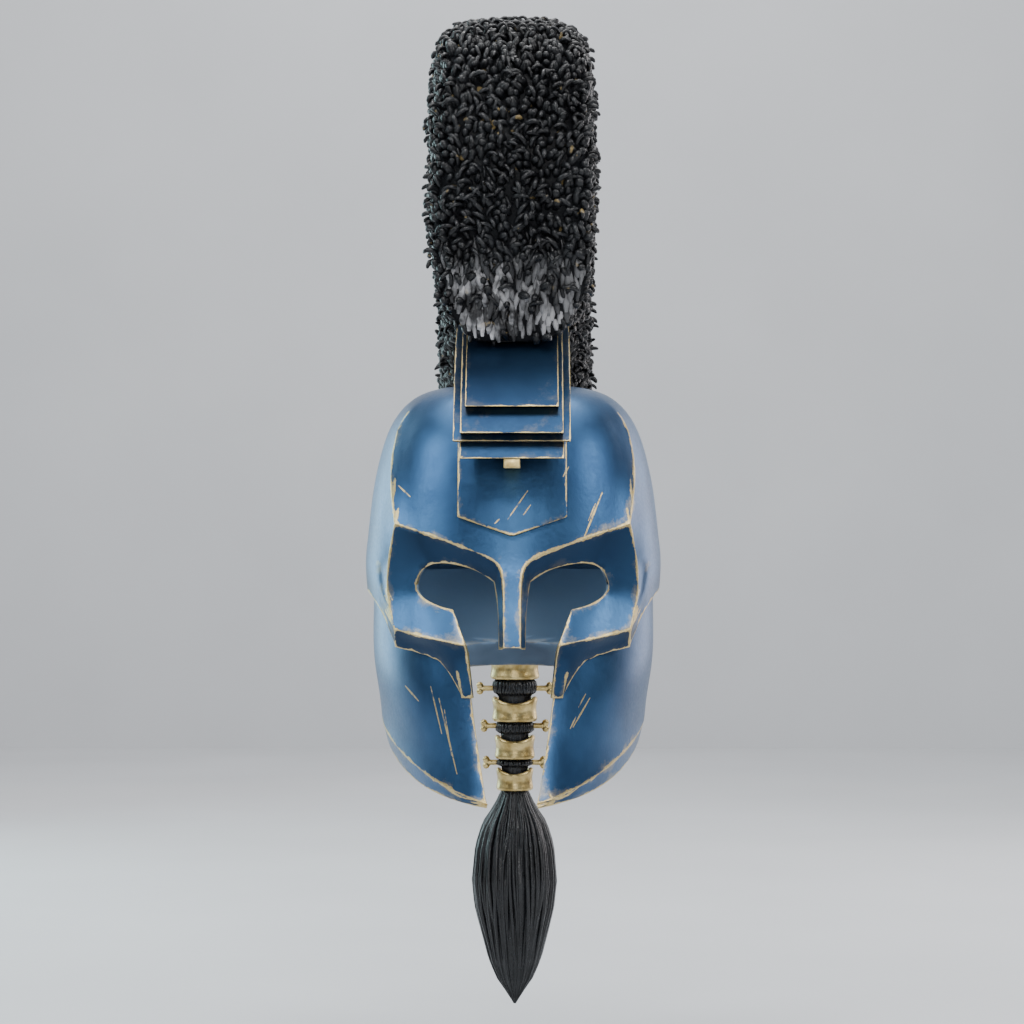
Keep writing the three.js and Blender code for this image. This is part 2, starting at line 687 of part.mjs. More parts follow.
function geometryOf(solid) {
  const mesh = solid.getMesh();
  const flat = [];
  for (let i = 0; i < mesh.vertProperties.length; i += mesh.numProp) {
    flat.push(mesh.vertProperties[i], mesh.vertProperties[i + 1], mesh.vertProperties[i + 2]);
  }
  const geometry = new THREE.BufferGeometry();
  geometry.setAttribute('position', new THREE.Float32BufferAttribute(flat, 3));
  geometry.setIndex(Array.from(mesh.triVerts));
  return geometry;
}

// Crest holder: the tiers joined into one stepped arc
function holderGeometry() {
  const solids = tiers.map(([inner, outer, halfWidth, drop], i) => {
    const deep = i > 0 ? inner - TIER_OVERLAP : inner;
    const depth = (halfWidth - HOLDER_BEVEL) * 2;
    const band = new THREE.ExtrudeGeometry(tierShape([deep, outer, halfWidth, drop]), {
      depth,
      steps: 1,
      bevelEnabled: true,
      bevelThickness: HOLDER_BEVEL,
      bevelSize: HOLDER_BEVEL,
      bevelOffset: -HOLDER_BEVEL,
      bevelSegments: 1,
    });
    band.translate(ARC_CENTRE_Y, ARC_CENTRE_Z, 0);
    return solidOf(acrossHelmet(band, depth / 2));
  });
  return geometryOf(solids.reduce((sum, next) => sum.add(next)));
}

// Peg between the skull and the underside of the lowest tier
function pegGeometry(nearY, farY) {
  const top = -tiers[0][3] - GAP;
  const peg = new THREE.BoxGeometry(PEG_WIDTH, Math.abs(farY - nearY), PEG_HEIGHT);
  return peg.translate(0, (nearY + farY) / 2, top - PEG_HEIGHT / 2);
}

// Pin with a double knob at each end
function pinGeometry(halfLength) {
  const shaft = new THREE.CylinderGeometry(PIN_SHAFT_RADIUS, PIN_SHAFT_RADIUS,
    (halfLength - PIN_KNOB_RADIUS) * 2, PIN_SEGMENTS).rotateZ(Math.PI / 2);
  const knobs = [];
  [-1, 1].forEach((end) => [-1, 1].forEach((up) => {
    const knob = new THREE.SphereGeometry(PIN_KNOB_RADIUS, 8, 6);
    knobs.push(knob.translate(end * (halfLength - PIN_KNOB_RADIUS), 0, up * PIN_KNOB_SPREAD));
  }));
  return geometryOf(knobs.reduce((sum, knob) => sum.add(solidOf(knob)), solidOf(shaft)));
}

const group = new THREE.Group();
function addPiece(name, geometry, look) {
  geometry.computeVertexNormals();
  const material = new THREE.MeshStandardMaterial(look);
  const mesh = new THREE.Mesh(geometry, material);
  mesh.name = name;
  group.add(mesh);
}

const skull = shell(skullNet(), WALL);
addPiece('skull_mask', netGeometry(skull), METAL);
addPiece('jaw_guard', netGeometry(shell(guardNet(), WALL)), METAL);
addPiece('forehead_plate', netGeometry(plateNet(skull)), METAL);
addPiece('crest_holder', holderGeometry(), METAL);

const pegFoot = -tiers[0][3] - GAP - PEG_HEIGHT;
const plateFront = frontAt(skull, 0, pegFoot) - PLATE_GAP - PLATE_THICKNESS - GAP;
const mirrored = { points: skull.points.map((p) => new THREE.Vector3(p.x, -p.y, p.z)),
  faces: skull.faces };
const skullBack = -frontAt(mirrored, 0, pegFoot) + GAP;
const pegLevel = -tiers[0][3] - ARC_CENTRE_Z;
const tierReach = Math.sqrt(tiers[0][1] ** 2 - pegLevel ** 2) - PEG_SET_IN;
addPiece('crest_peg_front', pegGeometry(plateFront, ARC_CENTRE_Y - tierReach), BRONZE);
addPiece('crest_peg_back', pegGeometry(skullBack, ARC_CENTRE_Y + tierReach), BRONZE);

addPiece('plume', netGeometry(plumeNet()), HAIR);
const pinHoles = pins.map(([down]) => {
  const bore = new THREE.CylinderGeometry(PIN_SHAFT_RADIUS + GAP, PIN_SHAFT_RADIUS + GAP,
    BRUSH_RADIUS * 2, PIN_SEGMENTS).rotateZ(Math.PI / 2);
  return solidOf(bore.translate(0, TAIL_Y, -TAIL_TOP_DROP - down));
});
const tail = pinHoles.reduce((sum, hole) => sum.subtract(hole), solidOf(netGeometry(tailNet())));
addPiece('tail_hair', geometryOf(tail), HAIR);
rings.forEach((ring, i) => addPiece(`tail_ring_${i + 1}`, netGeometry(ringNet(ring)), BRONZE));
pins.forEach(([down, halfLength], i) => {
  const pin = pinGeometry(halfLength).translate(0, TAIL_Y, -TAIL_TOP_DROP - down);
  addPiece(`tail_pin_${i + 1}`, pin, BRONZE);
});

export default group;
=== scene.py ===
# %% [markdown]
# # A crested Greek helmet
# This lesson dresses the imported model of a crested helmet. The metal shells are dark blue and
# worn to bronze along every edge, the crest is a tall plume of black locks, and a tail of
# hair hangs behind the neck through bronze rings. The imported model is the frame: every piece
# made here sits where its solid sits.

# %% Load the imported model
import math
import random

import bmesh
import bpy
from mathutils import Matrix, Vector
from mathutils.kdtree import KDTree


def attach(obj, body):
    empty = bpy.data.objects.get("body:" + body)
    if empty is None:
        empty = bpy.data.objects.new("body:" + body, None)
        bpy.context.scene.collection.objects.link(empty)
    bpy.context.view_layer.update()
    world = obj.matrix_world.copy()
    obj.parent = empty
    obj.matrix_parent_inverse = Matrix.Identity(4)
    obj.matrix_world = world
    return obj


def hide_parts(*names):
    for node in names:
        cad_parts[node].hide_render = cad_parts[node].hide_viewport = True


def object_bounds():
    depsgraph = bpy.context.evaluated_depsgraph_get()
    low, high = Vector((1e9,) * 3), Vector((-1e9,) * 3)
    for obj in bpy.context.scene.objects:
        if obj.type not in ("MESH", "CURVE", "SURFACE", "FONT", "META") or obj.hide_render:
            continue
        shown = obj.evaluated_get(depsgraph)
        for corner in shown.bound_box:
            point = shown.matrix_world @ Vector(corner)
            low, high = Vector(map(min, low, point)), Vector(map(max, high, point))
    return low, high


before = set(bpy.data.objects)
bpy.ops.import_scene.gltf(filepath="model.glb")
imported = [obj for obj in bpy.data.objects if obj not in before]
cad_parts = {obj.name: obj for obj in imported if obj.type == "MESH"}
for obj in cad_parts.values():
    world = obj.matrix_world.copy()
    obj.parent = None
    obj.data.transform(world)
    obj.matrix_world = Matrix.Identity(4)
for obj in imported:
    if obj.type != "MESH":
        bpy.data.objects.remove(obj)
cad_box = [list(corner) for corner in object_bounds()]
print("solid box:", [[round(value, 4) for value in corner] for corner in cad_box])

# %% [markdown]
# The camera stands level in front of the face, a little to the wearer's left, with a long
# lens. A long lens from two metres flattens the depth as the picture does. Its place is
# worked out from the width of the view at the face and the lens, so the frame is right at
# any picture size.

# %% Camera
MM = 0.001
FACE_Y = -130 * MM
VIEW_WIDTH = 716.8 * MM
LENS = 100
SENSOR = 36
CAMERA_SIDE = 15 * MM
EYE_LEVEL = -90 * MM

camera_data = bpy.data.cameras.new("camera")
camera_data.lens = LENS
camera_data.sensor_width = SENSOR
camera = bpy.data.objects.new("camera", camera_data)
bpy.context.scene.collection.objects.link(camera)
distance = VIEW_WIDTH * LENS / SENSOR
camera.location = (CAMERA_SIDE, FACE_Y - distance, EYE_LEVEL)
aim = Vector((0, FACE_Y, EYE_LEVEL)) - camera.location
camera.rotation_euler = aim.to_track_quat("-Z", "Y").to_euler()
bpy.context.scene.camera = camera
print("camera stands", round(distance, 3), "m from the face")

# %% [markdown]
# The helmet hangs as it would on a head, so the floor lies below the tail. A wide sheet of
# pale floor and a pale wall far behind are enough. They are no part of the helmet.

# %% Floor and wall
FLOOR_DROP = 30 * MM
STAGE_SIZE = 24.0
WALL_Y = 3.0


def deselect_all():
    """Operators act on all that is selected, so each step starts with nothing selected."""
    if bpy.context.object and bpy.context.object.mode != "OBJECT":
        bpy.ops.object.mode_set(mode="OBJECT")
    bpy.ops.object.select_all(action="DESELECT")


deselect_all()
floor_level = cad_box[0][2] - FLOOR_DROP
bpy.ops.mesh.primitive_plane_add(size=STAGE_SIZE, location=(0, 0, floor_level))
floor = bpy.context.object
floor.name = "floor"
deselect_all()
bpy.ops.mesh.primitive_plane_add(size=STAGE_SIZE, location=(0, WALL_Y, 0),
                                 rotation=(math.pi / 2, 0, 0))
wall = bpy.context.object
wall.name = "wall"
print("floor at", round(floor_level, 3))

# %% [markdown]
# Soft studio light comes from big area lamps: one above in front and one straight above for
# the crown, a box on each side for the forehead, a narrow strip behind on each side to draw
# the edges of the shell, and a low one in front for the inside and the plume's roots. One
# more lights the wall. The world gives a dim grey, so that no reflection is quite black.

# %% Light
def area_lamp(name, place, target, size, power, tint):
    """Adds a soft rectangular lamp that looks at a target."""
    data = bpy.data.lights.new(name, "AREA")
    data.shape = "RECTANGLE"
    data.size, data.size_y = size
    data.energy = power
    data.color = tint
    lamp = bpy.data.objects.new(name, data)
    bpy.context.scene.collection.objects.link(lamp)
    lamp.location = place
    look = Vector(target) - Vector(place)
    lamp.rotation_euler = look.to_track_quat("-Z", "Y").to_euler()


HELMET_MIDDLE = (0, 0, -0.1)
WHITE = (1, 1, 1)
WORLD_GREY = (0.4, 0.42, 0.45, 1)
WORLD_STRENGTH = 0.45
# Name, place, size, power in watts and tint of each lamp that looks at the helmet
lamps = [
    ("key_lamp", (-0.15, -1.3, 1.75), (1.6, 0.9), 40, WHITE),
    ("top_lamp", (0, 0.15, 1.9), (2.8, 1.5), 40, WHITE),
    ("left_box", (-1.5, -0.55, 0.85), (0.8, 0.9), 16, (0.9, 0.97, 1)),
    ("right_box", (1.5, -0.55, 0.85), (0.8, 0.9), 15, WHITE),
    ("left_strip", (-1.25, 1.25, 0.25), (0.7, 1.3), 17, (0.66, 0.96, 1)),
    ("right_strip", (1.25, 1.25, 0.25), (0.7, 1.3), 11, (1, 0.94, 0.95)),
    ("face_lamp", (0.1, -2.9, 0.45), (1.4, 0.8), 34, WHITE),
]
for name, place, size, power, tint in lamps:
    area_lamp(name, place, HELMET_MIDDLE, size, power, tint)
area_lamp("wall_lamp", (0, 1.2, 2.6), (0, WALL_Y, 0.3), (2, 1), 90, WHITE)

world = bpy.data.worlds.new("studio")
bpy.context.scene.world = world
world.use_nodes = True
world.node_tree.nodes["Background"].inputs["Color"].default_value = WORLD_GREY
world.node_tree.nodes["Background"].inputs["Strength"].default_value = WORLD_STRENGTH

# %% [markdown]
# Each finish is a small tree of nodes. These helpers add a node with its settings, so that
# the trees below read as a list of what the surface shows.

# %% Helpers for node trees
class Tree:
    """A material's node tree, with short calls to add and join nodes."""

    def __init__(self, name):
        self.material = bpy.data.materials.new(name)
        self.material.use_nodes = True
        self.nodes = self.material.node_tree.nodes
        self.links = self.material.node_tree.links
        self.shader = self.nodes["Principled BSDF"]
        place = self.nodes.new("ShaderNodeTexCoord")
        self.place = place.outputs["Object"]

    def put(self, value, socket):
        """Links an output to a socket, or sets a plain value on it."""
        if isinstance(value, bpy.types.NodeSocket):
            self.links.new(value, socket)
        else:
            socket.default_value = value

    def math(self, operation, one, two=0.0):
        node = self.nodes.new("ShaderNodeMath")
        node.operation = operation
        self.put(one, node.inputs[0])
        self.put(two, node.inputs[1])
        return node.outputs[0]

    def noise(self, scale, detail, roughness):
        node = self.nodes.new("ShaderNodeTexNoise")
        self.links.new(self.place, node.inputs["Vector"])
        node.inputs["Scale"].default_value = scale
        node.inputs["Detail"].default_value = detail
        node.inputs["Roughness"].default_value = roughness
        return node.outputs["Fac"]

    def ramp(self, value, low, high, start=0.0, end=1.0):
        """Maps a stretch of values to another, and holds it flat outside."""
        node = self.nodes.new("ShaderNodeMapRange")
        node.inputs["From Min"].default_value = low
        node.inputs["From Max"].default_value = high
        node.inputs["To Min"].default_value = start
        node.inputs["To Max"].default_value = end
        self.links.new(value, node.inputs["Value"])
        return node.outputs["Result"]

    def mix(self, share, one, two):
        """A colour that goes from one at share 0 to two at share 1."""
        node = self.nodes.new("ShaderNodeMix")
        node.data_type = "RGBA"
        self.put(share, node.inputs["Factor"])
        self.put(one, node.inputs[6])
        self.put(two, node.inputs[7])
        return node.outputs[2]

    def attribute(self, name):
        node = self.nodes.new("ShaderNodeAttribute")
        node.attribute_name = name
        return node.outputs["Fac"]

    def flat_place(self):
        """The front view's place of a point: its depth is dropped."""
        node = self.nodes.new("ShaderNodeMapping")
        self.links.new(self.place, node.inputs["Vector"])
        node.inputs["Scale"].default_value = (1, 0, 1)
        return node.outputs["Vector"]

    def axis(self, name):
        """One coordinate of a point: X, Y or Z."""
        node = self.nodes.new("ShaderNodeSeparateXYZ")
        self.links.new(self.place, node.inputs[0])
        return node.outputs[name]

    def bump(self, height, strength, depth):
        node = self.nodes.new("ShaderNodeBump")
        node.inputs["Strength"].default_value = strength
        node.inputs["Distance"].default_value = depth
        self.links.new(height, node.inputs["Height"])
        self.links.new(node.outputs["Normal"], self.shader.inputs["Normal"])

    def set(self, **sockets):
        for name, value in sockets.items():
            self.put(value, self.shader.inputs[name.replace("_", " ")])
        return self.material


# %% [markdown]
# The shells are steel-blue metal with a satin skin. Handling has rubbed every raised edge
# down to bronze, in a thin, broken line, and left some long scratches. How worn a place is
# depends on how near it lies to an edge, which is stored on the mesh as a number called
# edge_distance. Noise breaks the line up. The inner side, where the number called inside is
# 1, is dull and hardly worn, and is painted a paler blue as painted light falling inside. A
# painted shade, a near-black blue, lies on the skin that looks down, as much as a number
# stored on the mesh says. The scratches are drawn one by one, each as a straight stroke
# between two points of the front view. The crest holder is less worn, and its blue is painted
# darker as painted shade.

# %% Blue metal
BRONZE = (0.46, 0.34, 0.13, 1)
BRONZE_PALE = (0.66, 0.54, 0.29, 1)
BLUE_DEEP = (0.023, 0.062, 0.14, 1)
BLUE_PALE = (0.05, 0.128, 0.26, 1)
# Paler blue for the inner side: painted light falling inside the helmet
BLUE_INSIDE_PAINTED_LIGHT = (0.19, 0.3, 0.44, 1)
# Near-black blue laid as painted shade on the skin that looks down
BLUE_PAINTED_SHADE = (0.008, 0.02, 0.045, 1)
# Darker blues for the crest holder: painted shade
HOLDER_SHADED_DEEP = (0.01, 0.028, 0.065, 1)
HOLDER_SHADED_PALE = (0.018, 0.05, 0.105, 1)
WORN_WIDTH = 1.3 * MM
DUSTED_WIDTH = 7 * MM
DUSTED_SHARE = 0.34
STROKE_SPREAD = 1.6
FRONT_HALF_Y = -20 * MM

# Strokes on the front: start and end, side and height in millimetres, and half width
scratches = [
    (64, -76, 50, -110, 0.55), (59, -84, 54, -96, 0.4), (-3, -95, 11, -75, 0.4),
    (8, -92, 13, -85, 0.35), (-12, -98, -9, -95, 0.4), (36, -65, 40, -58, 0.5),
    (-82, -71, -73, -79, 0.5), (-58, -214, -50, -247, 0.4), (-52, -222, -39, -275, 0.45),
    (-48, -230, -43, -262, 0.35), (-77, -215, -67, -225, 0.5), (55, -222, 43, -242, 0.45),
    (52, -219, 47, -228, 0.35), (45, -235, 41, -243, 0.4), (-92, -150, -88, -157, 0.5),
    (-90, -146, -86, -153, 0.4),
]


def scratch_group():
    """A node group that is 1 on a straight stroke between two points of the front view."""
    group = bpy.data.node_groups.new("scratch", "ShaderNodeTree")
    for name in ("place", "start", "end"):
        group.interface.new_socket(name, in_out="INPUT", socket_type="NodeSocketVector")
    group.interface.new_socket("width", in_out="INPUT", socket_type="NodeSocketFloat")
    group.interface.new_socket("stroke", in_out="OUTPUT", socket_type="NodeSocketFloat")
    nodes, links = group.nodes, group.links
    entry = nodes.new("NodeGroupInput")
    leave = nodes.new("NodeGroupOutput")

    def vector(operation, one, two=None, scale=None):
        node = nodes.new("ShaderNodeVectorMath")
        node.operation = operation
        links.new(one, node.inputs[0])
        if two is not None:
            links.new(two, node.inputs[1])
        if scale is not None:
            links.new(scale, node.inputs["Scale"])
        return node

    def number(operation, one, two, clamp=False):
        node = nodes.new("ShaderNodeMath")
        node.operation = operation
        node.use_clamp = clamp
        for value, socket in ((one, node.inputs[0]), (two, node.inputs[1])):
            if isinstance(value, bpy.types.NodeSocket):
                links.new(value, socket)
            else:
                socket.default_value = value
        return node.outputs[0]

    reach = vector("SUBTRACT", entry.outputs["place"], entry.outputs["start"]).outputs[0]
    line = vector("SUBTRACT", entry.outputs["end"], entry.outputs["start"]).outputs[0]
    along = number("DIVIDE", vector("DOT_PRODUCT", reach, line).outputs["Value"],
                   vector("DOT_PRODUCT", line, line).outputs["Value"], clamp=True)
    foot = vector("SCALE", line, scale=along).outputs[0]
    away = vector("DISTANCE", reach, foot).outputs["Value"]
    # A stroke is widest in its middle and runs out to nothing at both ends
    taper = number("SUBTRACT", 1.0, number("ABSOLUTE", number("SUBTRACT", along, 0.5), 0.0))
    width = number("MULTIPLY", entry.outputs["width"], taper)
    stroke = number("SUBTRACT", 1.0, number("DIVIDE", away, width), clamp=True)
    links.new(number("MULTIPLY", stroke, 3.0, clamp=True), leave.inputs["stroke"])
    return group


scratch = scratch_group()


def scratch_mask(tree):
    """All strokes together, on the front half alone."""
    flat = tree.flat_place()
    total = None
    for left, top, right, foot, width in scratches:
        node = tree.nodes.new("ShaderNodeGroup")
        node.node_tree = scratch
        tree.links.new(flat, node.inputs["place"])
        node.inputs["start"].default_value = (left * MM, 0, top * MM)
        node.inputs["end"].default_value = (right * MM, 0, foot * MM)
        node.inputs["width"].default_value = width * MM * STROKE_SPREAD
        stroke = node.outputs["stroke"]
        total = stroke if total is None else tree.math("MAXIMUM", total, stroke)
    in_front = tree.math("LESS_THAN", tree.axis("Y"), FRONT_HALF_Y)
    broken = tree.ramp(tree.noise(260, 3, 0.6), 0.36, 0.5, 0.15, 1)
    return tree.math("MULTIPLY", total, tree.math("MULTIPLY", in_front, broken))


def blue_metal(name, with_scratches, wear, deep, pale):
    """Clouded blue between a deep and a pale tone, with its edges worn as much as wear says."""
    tree = Tree(name)
    clouds = tree.noise(9, 4, 0.6)
    grain = tree.noise(420, 2, 0.6)
    broken = tree.noise(70, 5, 0.65)
    fine = tree.noise(520, 4, 0.7)
    edge = tree.attribute("edge_distance")
    inside = tree.attribute("inside")
    # Rubbed down to bronze on the edge itself, in a ragged line, and hardly so inside
    away = tree.math("DIVIDE", edge, WORN_WIDTH * wear)
    ragged = tree.math("ADD", away, tree.ramp(broken, 0.3, 0.7, -0.75, 1.1))
    ragged = tree.math("ADD", ragged, tree.ramp(fine, 0.3, 0.7, -0.35, 0.35))
    rubbed = tree.math("SUBTRACT", 1.0, tree.math("MULTIPLY", inside, 0.8))
    worn = tree.math("MULTIPLY", tree.ramp(ragged, 1.15, 0.75), rubbed)
    if with_scratches:
        worn = tree.math("MAXIMUM", worn, scratch_mask(tree))
    # Dusted with bronze in patches beside the edge
    patches = tree.ramp(tree.noise(38, 6, 0.75), 0.35, 0.65, -0.2, 1.3)
    dusted = tree.math("ADD", tree.math("DIVIDE", edge, DUSTED_WIDTH), patches)
    dusted = tree.ramp(dusted, 0.95, 0.1, 0, DUSTED_SHARE * wear ** 2)
    blue = tree.mix(tree.ramp(clouds, 0.35, 0.65), deep, pale)
    bronze = tree.mix(tree.ramp(fine, 0.35, 0.65), BRONZE, BRONZE_PALE)
    # The inner side gets the paler blue as painted light; it is also dull and hardly worn
    blue = tree.mix(inside, tree.mix(dusted, blue, bronze), BLUE_INSIDE_PAINTED_LIGHT)
    # Painted shade: near-black blue on the skin that looks down, a little broken by the clouds
    painted_shade = tree.math("MULTIPLY", tree.attribute("painted_shade"), tree.ramp(clouds, 0.25, 0.6, 0.6, 0.9))
    blue = tree.mix(painted_shade, blue, BLUE_PAINTED_SHADE)
    color = tree.mix(worn, blue, bronze)
    rough = tree.math("ADD", tree.ramp(grain, 0.3, 0.7, 0.33, 0.41),
                      tree.math("MULTIPLY", tree.math("ADD", worn, inside), 0.05))
    metal = tree.math("SUBTRACT", 0.92, tree.math("MULTIPLY", inside, 0.7))
    tree.bump(tree.math("SUBTRACT", grain, tree.math("MULTIPLY", worn, 1.4)), 0.12, 0.0006)
    return tree.set(Base_Color=color, Metallic=metal, Roughness=rough)


shell_blue = blue_metal("shell_blue", True, 1.0, BLUE_DEEP, BLUE_PALE)
# The crest holder is painted darker as painted shade, and is less worn
holder_shaded_blue = blue_metal("holder_shaded_blue", False, 0.45, HOLDER_SHADED_DEEP, HOLDER_SHADED_PALE)

# %% [markdown]
# The rings, pins and pegs are cast bronze: yellow-brown, darker in its hollows, with a soft
# hammered skin.

# %% Cast bronze
CAST_HOLLOW = (0.33, 0.23, 0.08, 1)
CAST_PROUD = (0.66, 0.52, 0.24, 1)


def cast_bronze():
    tree = Tree("cast_bronze")
    blotch = tree.noise(90, 5, 0.6)
    skin = tree.noise(320, 3, 0.6)
    color = tree.mix(tree.ramp(blotch, 0.36, 0.64), CAST_HOLLOW, CAST_PROUD)
    rough = tree.ramp(skin, 0.3, 0.7, 0.3, 0.45)
    tree.bump(tree.math("ADD", blotch, tree.math("MULTIPLY", skin, 0.5)), 0.35, 0.0008)
    return tree.set(Base_Color=color, Metallic=0.95, Roughness=rough)


ring_bronze = cast_bronze()

# %% [markdown]
# The hair is black and glossy. Horsehair shines along its strands, so the noise that breaks
# up its gloss is fine. A few specks on the plume are painted brassy as painted glints. The
# locks at the front of the root are painted pale grey as a painted highlight: their meshes
# carry a number that says how much. The core under the locks has next to no gloss, so that
# the gaps between them stay dark.

# %% Black hair
HAIR_DEEP = (0.003, 0.003, 0.004, 1)
HAIR_PALE = (0.011, 0.012, 0.014, 1)
# Brass colour of the painted glints in the plume
BRASSY_GLINT = (0.3, 0.22, 0.09, 1)
# Pale grey laid on the low front locks as a painted highlight
PAINTED_HIGHLIGHT_GREY = (0.62, 0.62, 0.64, 1)


def black_hair(name, gloss):
    tree = Tree(name)
    clump = tree.noise(45, 4, 0.6)
    strand = tree.noise(700, 2, 0.5)
    black = tree.mix(tree.ramp(clump, 0.35, 0.65), HAIR_DEEP, HAIR_PALE)
    # Painted highlight: pale grey on the locks whose meshes carry it, broken by the clumps
    painted_highlight = tree.math("MULTIPLY", tree.attribute("painted_highlight"), tree.ramp(clump, 0.36, 0.56, 0.05, 1))
    # Painted glints: small brassy specks, on the plume alone
    on_plume = tree.math("GREATER_THAN", tree.axis("Z"), 0.0)
    painted_glints = tree.ramp(tree.noise(130, 1, 0.4), 0.72, 0.76, 0, 0.5)
    glinted = tree.mix(tree.math("MULTIPLY", on_plume, painted_glints), black, BRASSY_GLINT)
    color = tree.mix(painted_highlight, glinted, PAINTED_HIGHLIGHT_GREY)
    rough = tree.ramp(strand, 0.3, 0.7, 0.24, 0.46)
    tree.bump(strand, 0.4, 0.0006)
    return tree.set(Base_Color=color, Roughness=rough, Specular_IOR_Level=gloss)


lock_black = black_hair("lock_black", 0.33)
core_black = black_hair("core_black", 0.06)
tail_black = black_hair("tail_black", 0.45)

# %% [markdown]
# The shells keep the exact form of their solids. Each is copied, its loose triangles are
# merged and paired back into four-sided faces, its sharp edges are marked as creases, and
# Subdivision Surface rounds all the rest. A narrow bevel then gives each edge a real width.
# Some folds turn too gently to be found by their angle. They are given as lines, and the
# edges on them are marked sharp first, so that no pairing of triangles swallows them.

# %% Helpers that turn a solid into a smooth piece
SHARP = math.radians(27)
GENTLE = math.radians(3)
ON_LINE = 3 * MM
PARALLEL = 0.9
MERGE_REACH = 0.00001
FARTHEST = 50 * MM


def pick(piece):
    """Selects one piece alone and makes it the active one."""
    deselect_all()
    piece.select_set(True)
    bpy.context.view_layer.objects.active = piece


def in_edit_mode(piece):
    pick(piece)
    bpy.ops.object.mode_set(mode="EDIT")
    bpy.ops.mesh.select_all(action="SELECT")


def line_distance(point, line):
    """Distance from a point to a line of corners, and the direction of the nearest part."""
    best = (1.0, Vector((0, 0, 1)))
    for one, two in zip(line, line[1:]):
        step = two - one
        way = max(0.0, min(1.0, (point - one).dot(step) / step.length_squared))
        away = (point - one - step * way).length
        if away < best[0]:
            best = (away, step.normalized())
    return best


def mark_folds(piece, lines):
    """Marks as sharp every edge that lies along one of the lines."""
    for edge in piece.data.edges:
        one, two = (piece.data.vertices[i].co for i in edge.vertices)
        way = (two - one).normalized()
        for line in lines:
            away, along = line_distance((one + two) / 2, line)
            if away < ON_LINE and abs(way.dot(along)) > PARALLEL:
                edge.use_edge_sharp = True


def copied(node, name, folds=()):
    """A new piece with a merged copy of a solid's mesh, in four-sided faces."""
    piece = bpy.data.objects.new(name, bpy.data.objects[node].data.copy())
    bpy.context.scene.collection.objects.link(piece)
    piece.data.materials.clear()
    in_edit_mode(piece)
    bpy.ops.mesh.remove_doubles(threshold=MERGE_REACH)
    bpy.ops.mesh.mark_sharp(clear=True)
    bpy.ops.object.mode_set(mode="OBJECT")
    mark_folds(piece, folds)
    in_edit_mode(piece)
    bpy.ops.mesh.tris_convert_to_quads(face_threshold=math.pi, shape_threshold=math.pi,
                                       sharp=True)
    bpy.ops.object.mode_set(mode="OBJECT")
    return piece


def apply_modifier(piece, kind, **settings):
    pick(piece)
    modifier = piece.modifiers.new(kind.lower(), kind)
    for name, value in settings.items():
        setattr(modifier, name, value)
    bpy.ops.object.modifier_apply(modifier=modifier.name)


def crease_sharp_edges(piece, limit):
    """Creases the edges that are marked sharp or have a sharp angle."""
    work = bmesh.new()
    work.from_mesh(piece.data)
    layers = work.edges.layers.float
    layer = layers.get("crease_edge") or layers.new("crease_edge")
    count = 0
    for edge in work.edges:
        if len(edge.link_faces) == 2 and (edge.calc_face_angle() > limit or not edge.smooth):
            edge[layer] = 1.0
            count += 1
    work.to_mesh(piece.data)
    work.free()
    return count


def subdivided(piece, levels, kind="CATMULL_CLARK"):
    apply_modifier(piece, "SUBSURF", levels=levels, render_levels=levels, subdivision_type=kind)


def bevelled(piece, width, limit):
    apply_modifier(piece, "BEVEL", width=width, segments=3, limit_method="ANGLE",
                   angle_limit=limit)


def worn_points(piece, limit, step=0.8 * MM):
    """Points along every outward edge that is sharp, or creased on purpose, for wear."""
    work = bmesh.new()
    work.from_mesh(piece.data)
    creases = work.edges.layers.float.get("crease_edge")
    found = []
    for edge in work.edges:
        least = GENTLE if creases and edge[creases] > 0.5 else limit
        if len(edge.link_faces) == 2 and edge.calc_face_angle_signed() > least:
            one, two = (vertex.co.copy() for vertex in edge.verts)
            count = max(1, round((two - one).length / step))
            found += [one.lerp(two, k / count) for k in range(count + 1)]
    work.free()
    return found


def store_numbers(piece, name, values):
    """Stores one number for every point of a mesh, for the finishes to read."""
    layer = piece.data.attributes.new(name, "FLOAT", "POINT")
    layer.data.foreach_set("value", values)


def store_edge_distance(piece, points):
    tree = KDTree(len(points))
    for i, point in enumerate(points):
        tree.insert(point, i)
    tree.balance()
    store_numbers(piece, "edge_distance",
                  [min(FARTHEST, tree.find(vertex.co)[2]) for vertex in piece.data.vertices])


def smooth_look(piece, angle=math.radians(32)):
    pick(piece)
    bpy.ops.object.shade_smooth_by_angle(angle=angle)


def finished(piece, material, slot, *nodes):
    """Gives a piece its finish, sets what it rides on, and hides the solids it stands for."""
    piece.data.materials.clear()
    piece.data.materials.append(material)
    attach(piece, "root")
    if nodes:
        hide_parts(*nodes)
    print(piece.name, len(piece.data.polygons), "faces")


# %% [markdown]
# The skull and the mask are one beaten sheet, and so is the jaw guard that runs round the
# neck. Both go the same way from solid to smooth shell. Three long folds are given as
# lines: the brow, the temple and the lower edge of the jaw. The temple and the front of the
# jaw also get a slight ridge, as a smith would raise it with a hammer. The strip just behind
# the lower temple is drawn back, so that the temple alone folds there. The jaw guard's rim
# under the skull is hidden, so nothing rubs it.

# %% Skull and jaw shells
EDGE_WIDTH = 0.8 * MM
FOLD_ANGLE = math.radians(10)
RIDGE_HEIGHT = 1.5 * MM
RIDGE_REACH = 13 * MM
HIDDEN_RIM = Vector((0, -60 * MM, -150 * MM))
# How fast the painted shade grows as the skin turns down
PAINTED_SHADE_SLOPE = 5
# The strip behind the lower temple: where it is, and how far it moves
STRIP_SIDE = 85.5 * MM
STRIP_Y = (-82 * MM, -70 * MM)
STRIP_Z = (-166 * MM, -126 * MM)
STRIP_GAP = 1.3 * MM
STRIP_OUT = 1 * MM
STRIP_BACK = 4.5 * MM

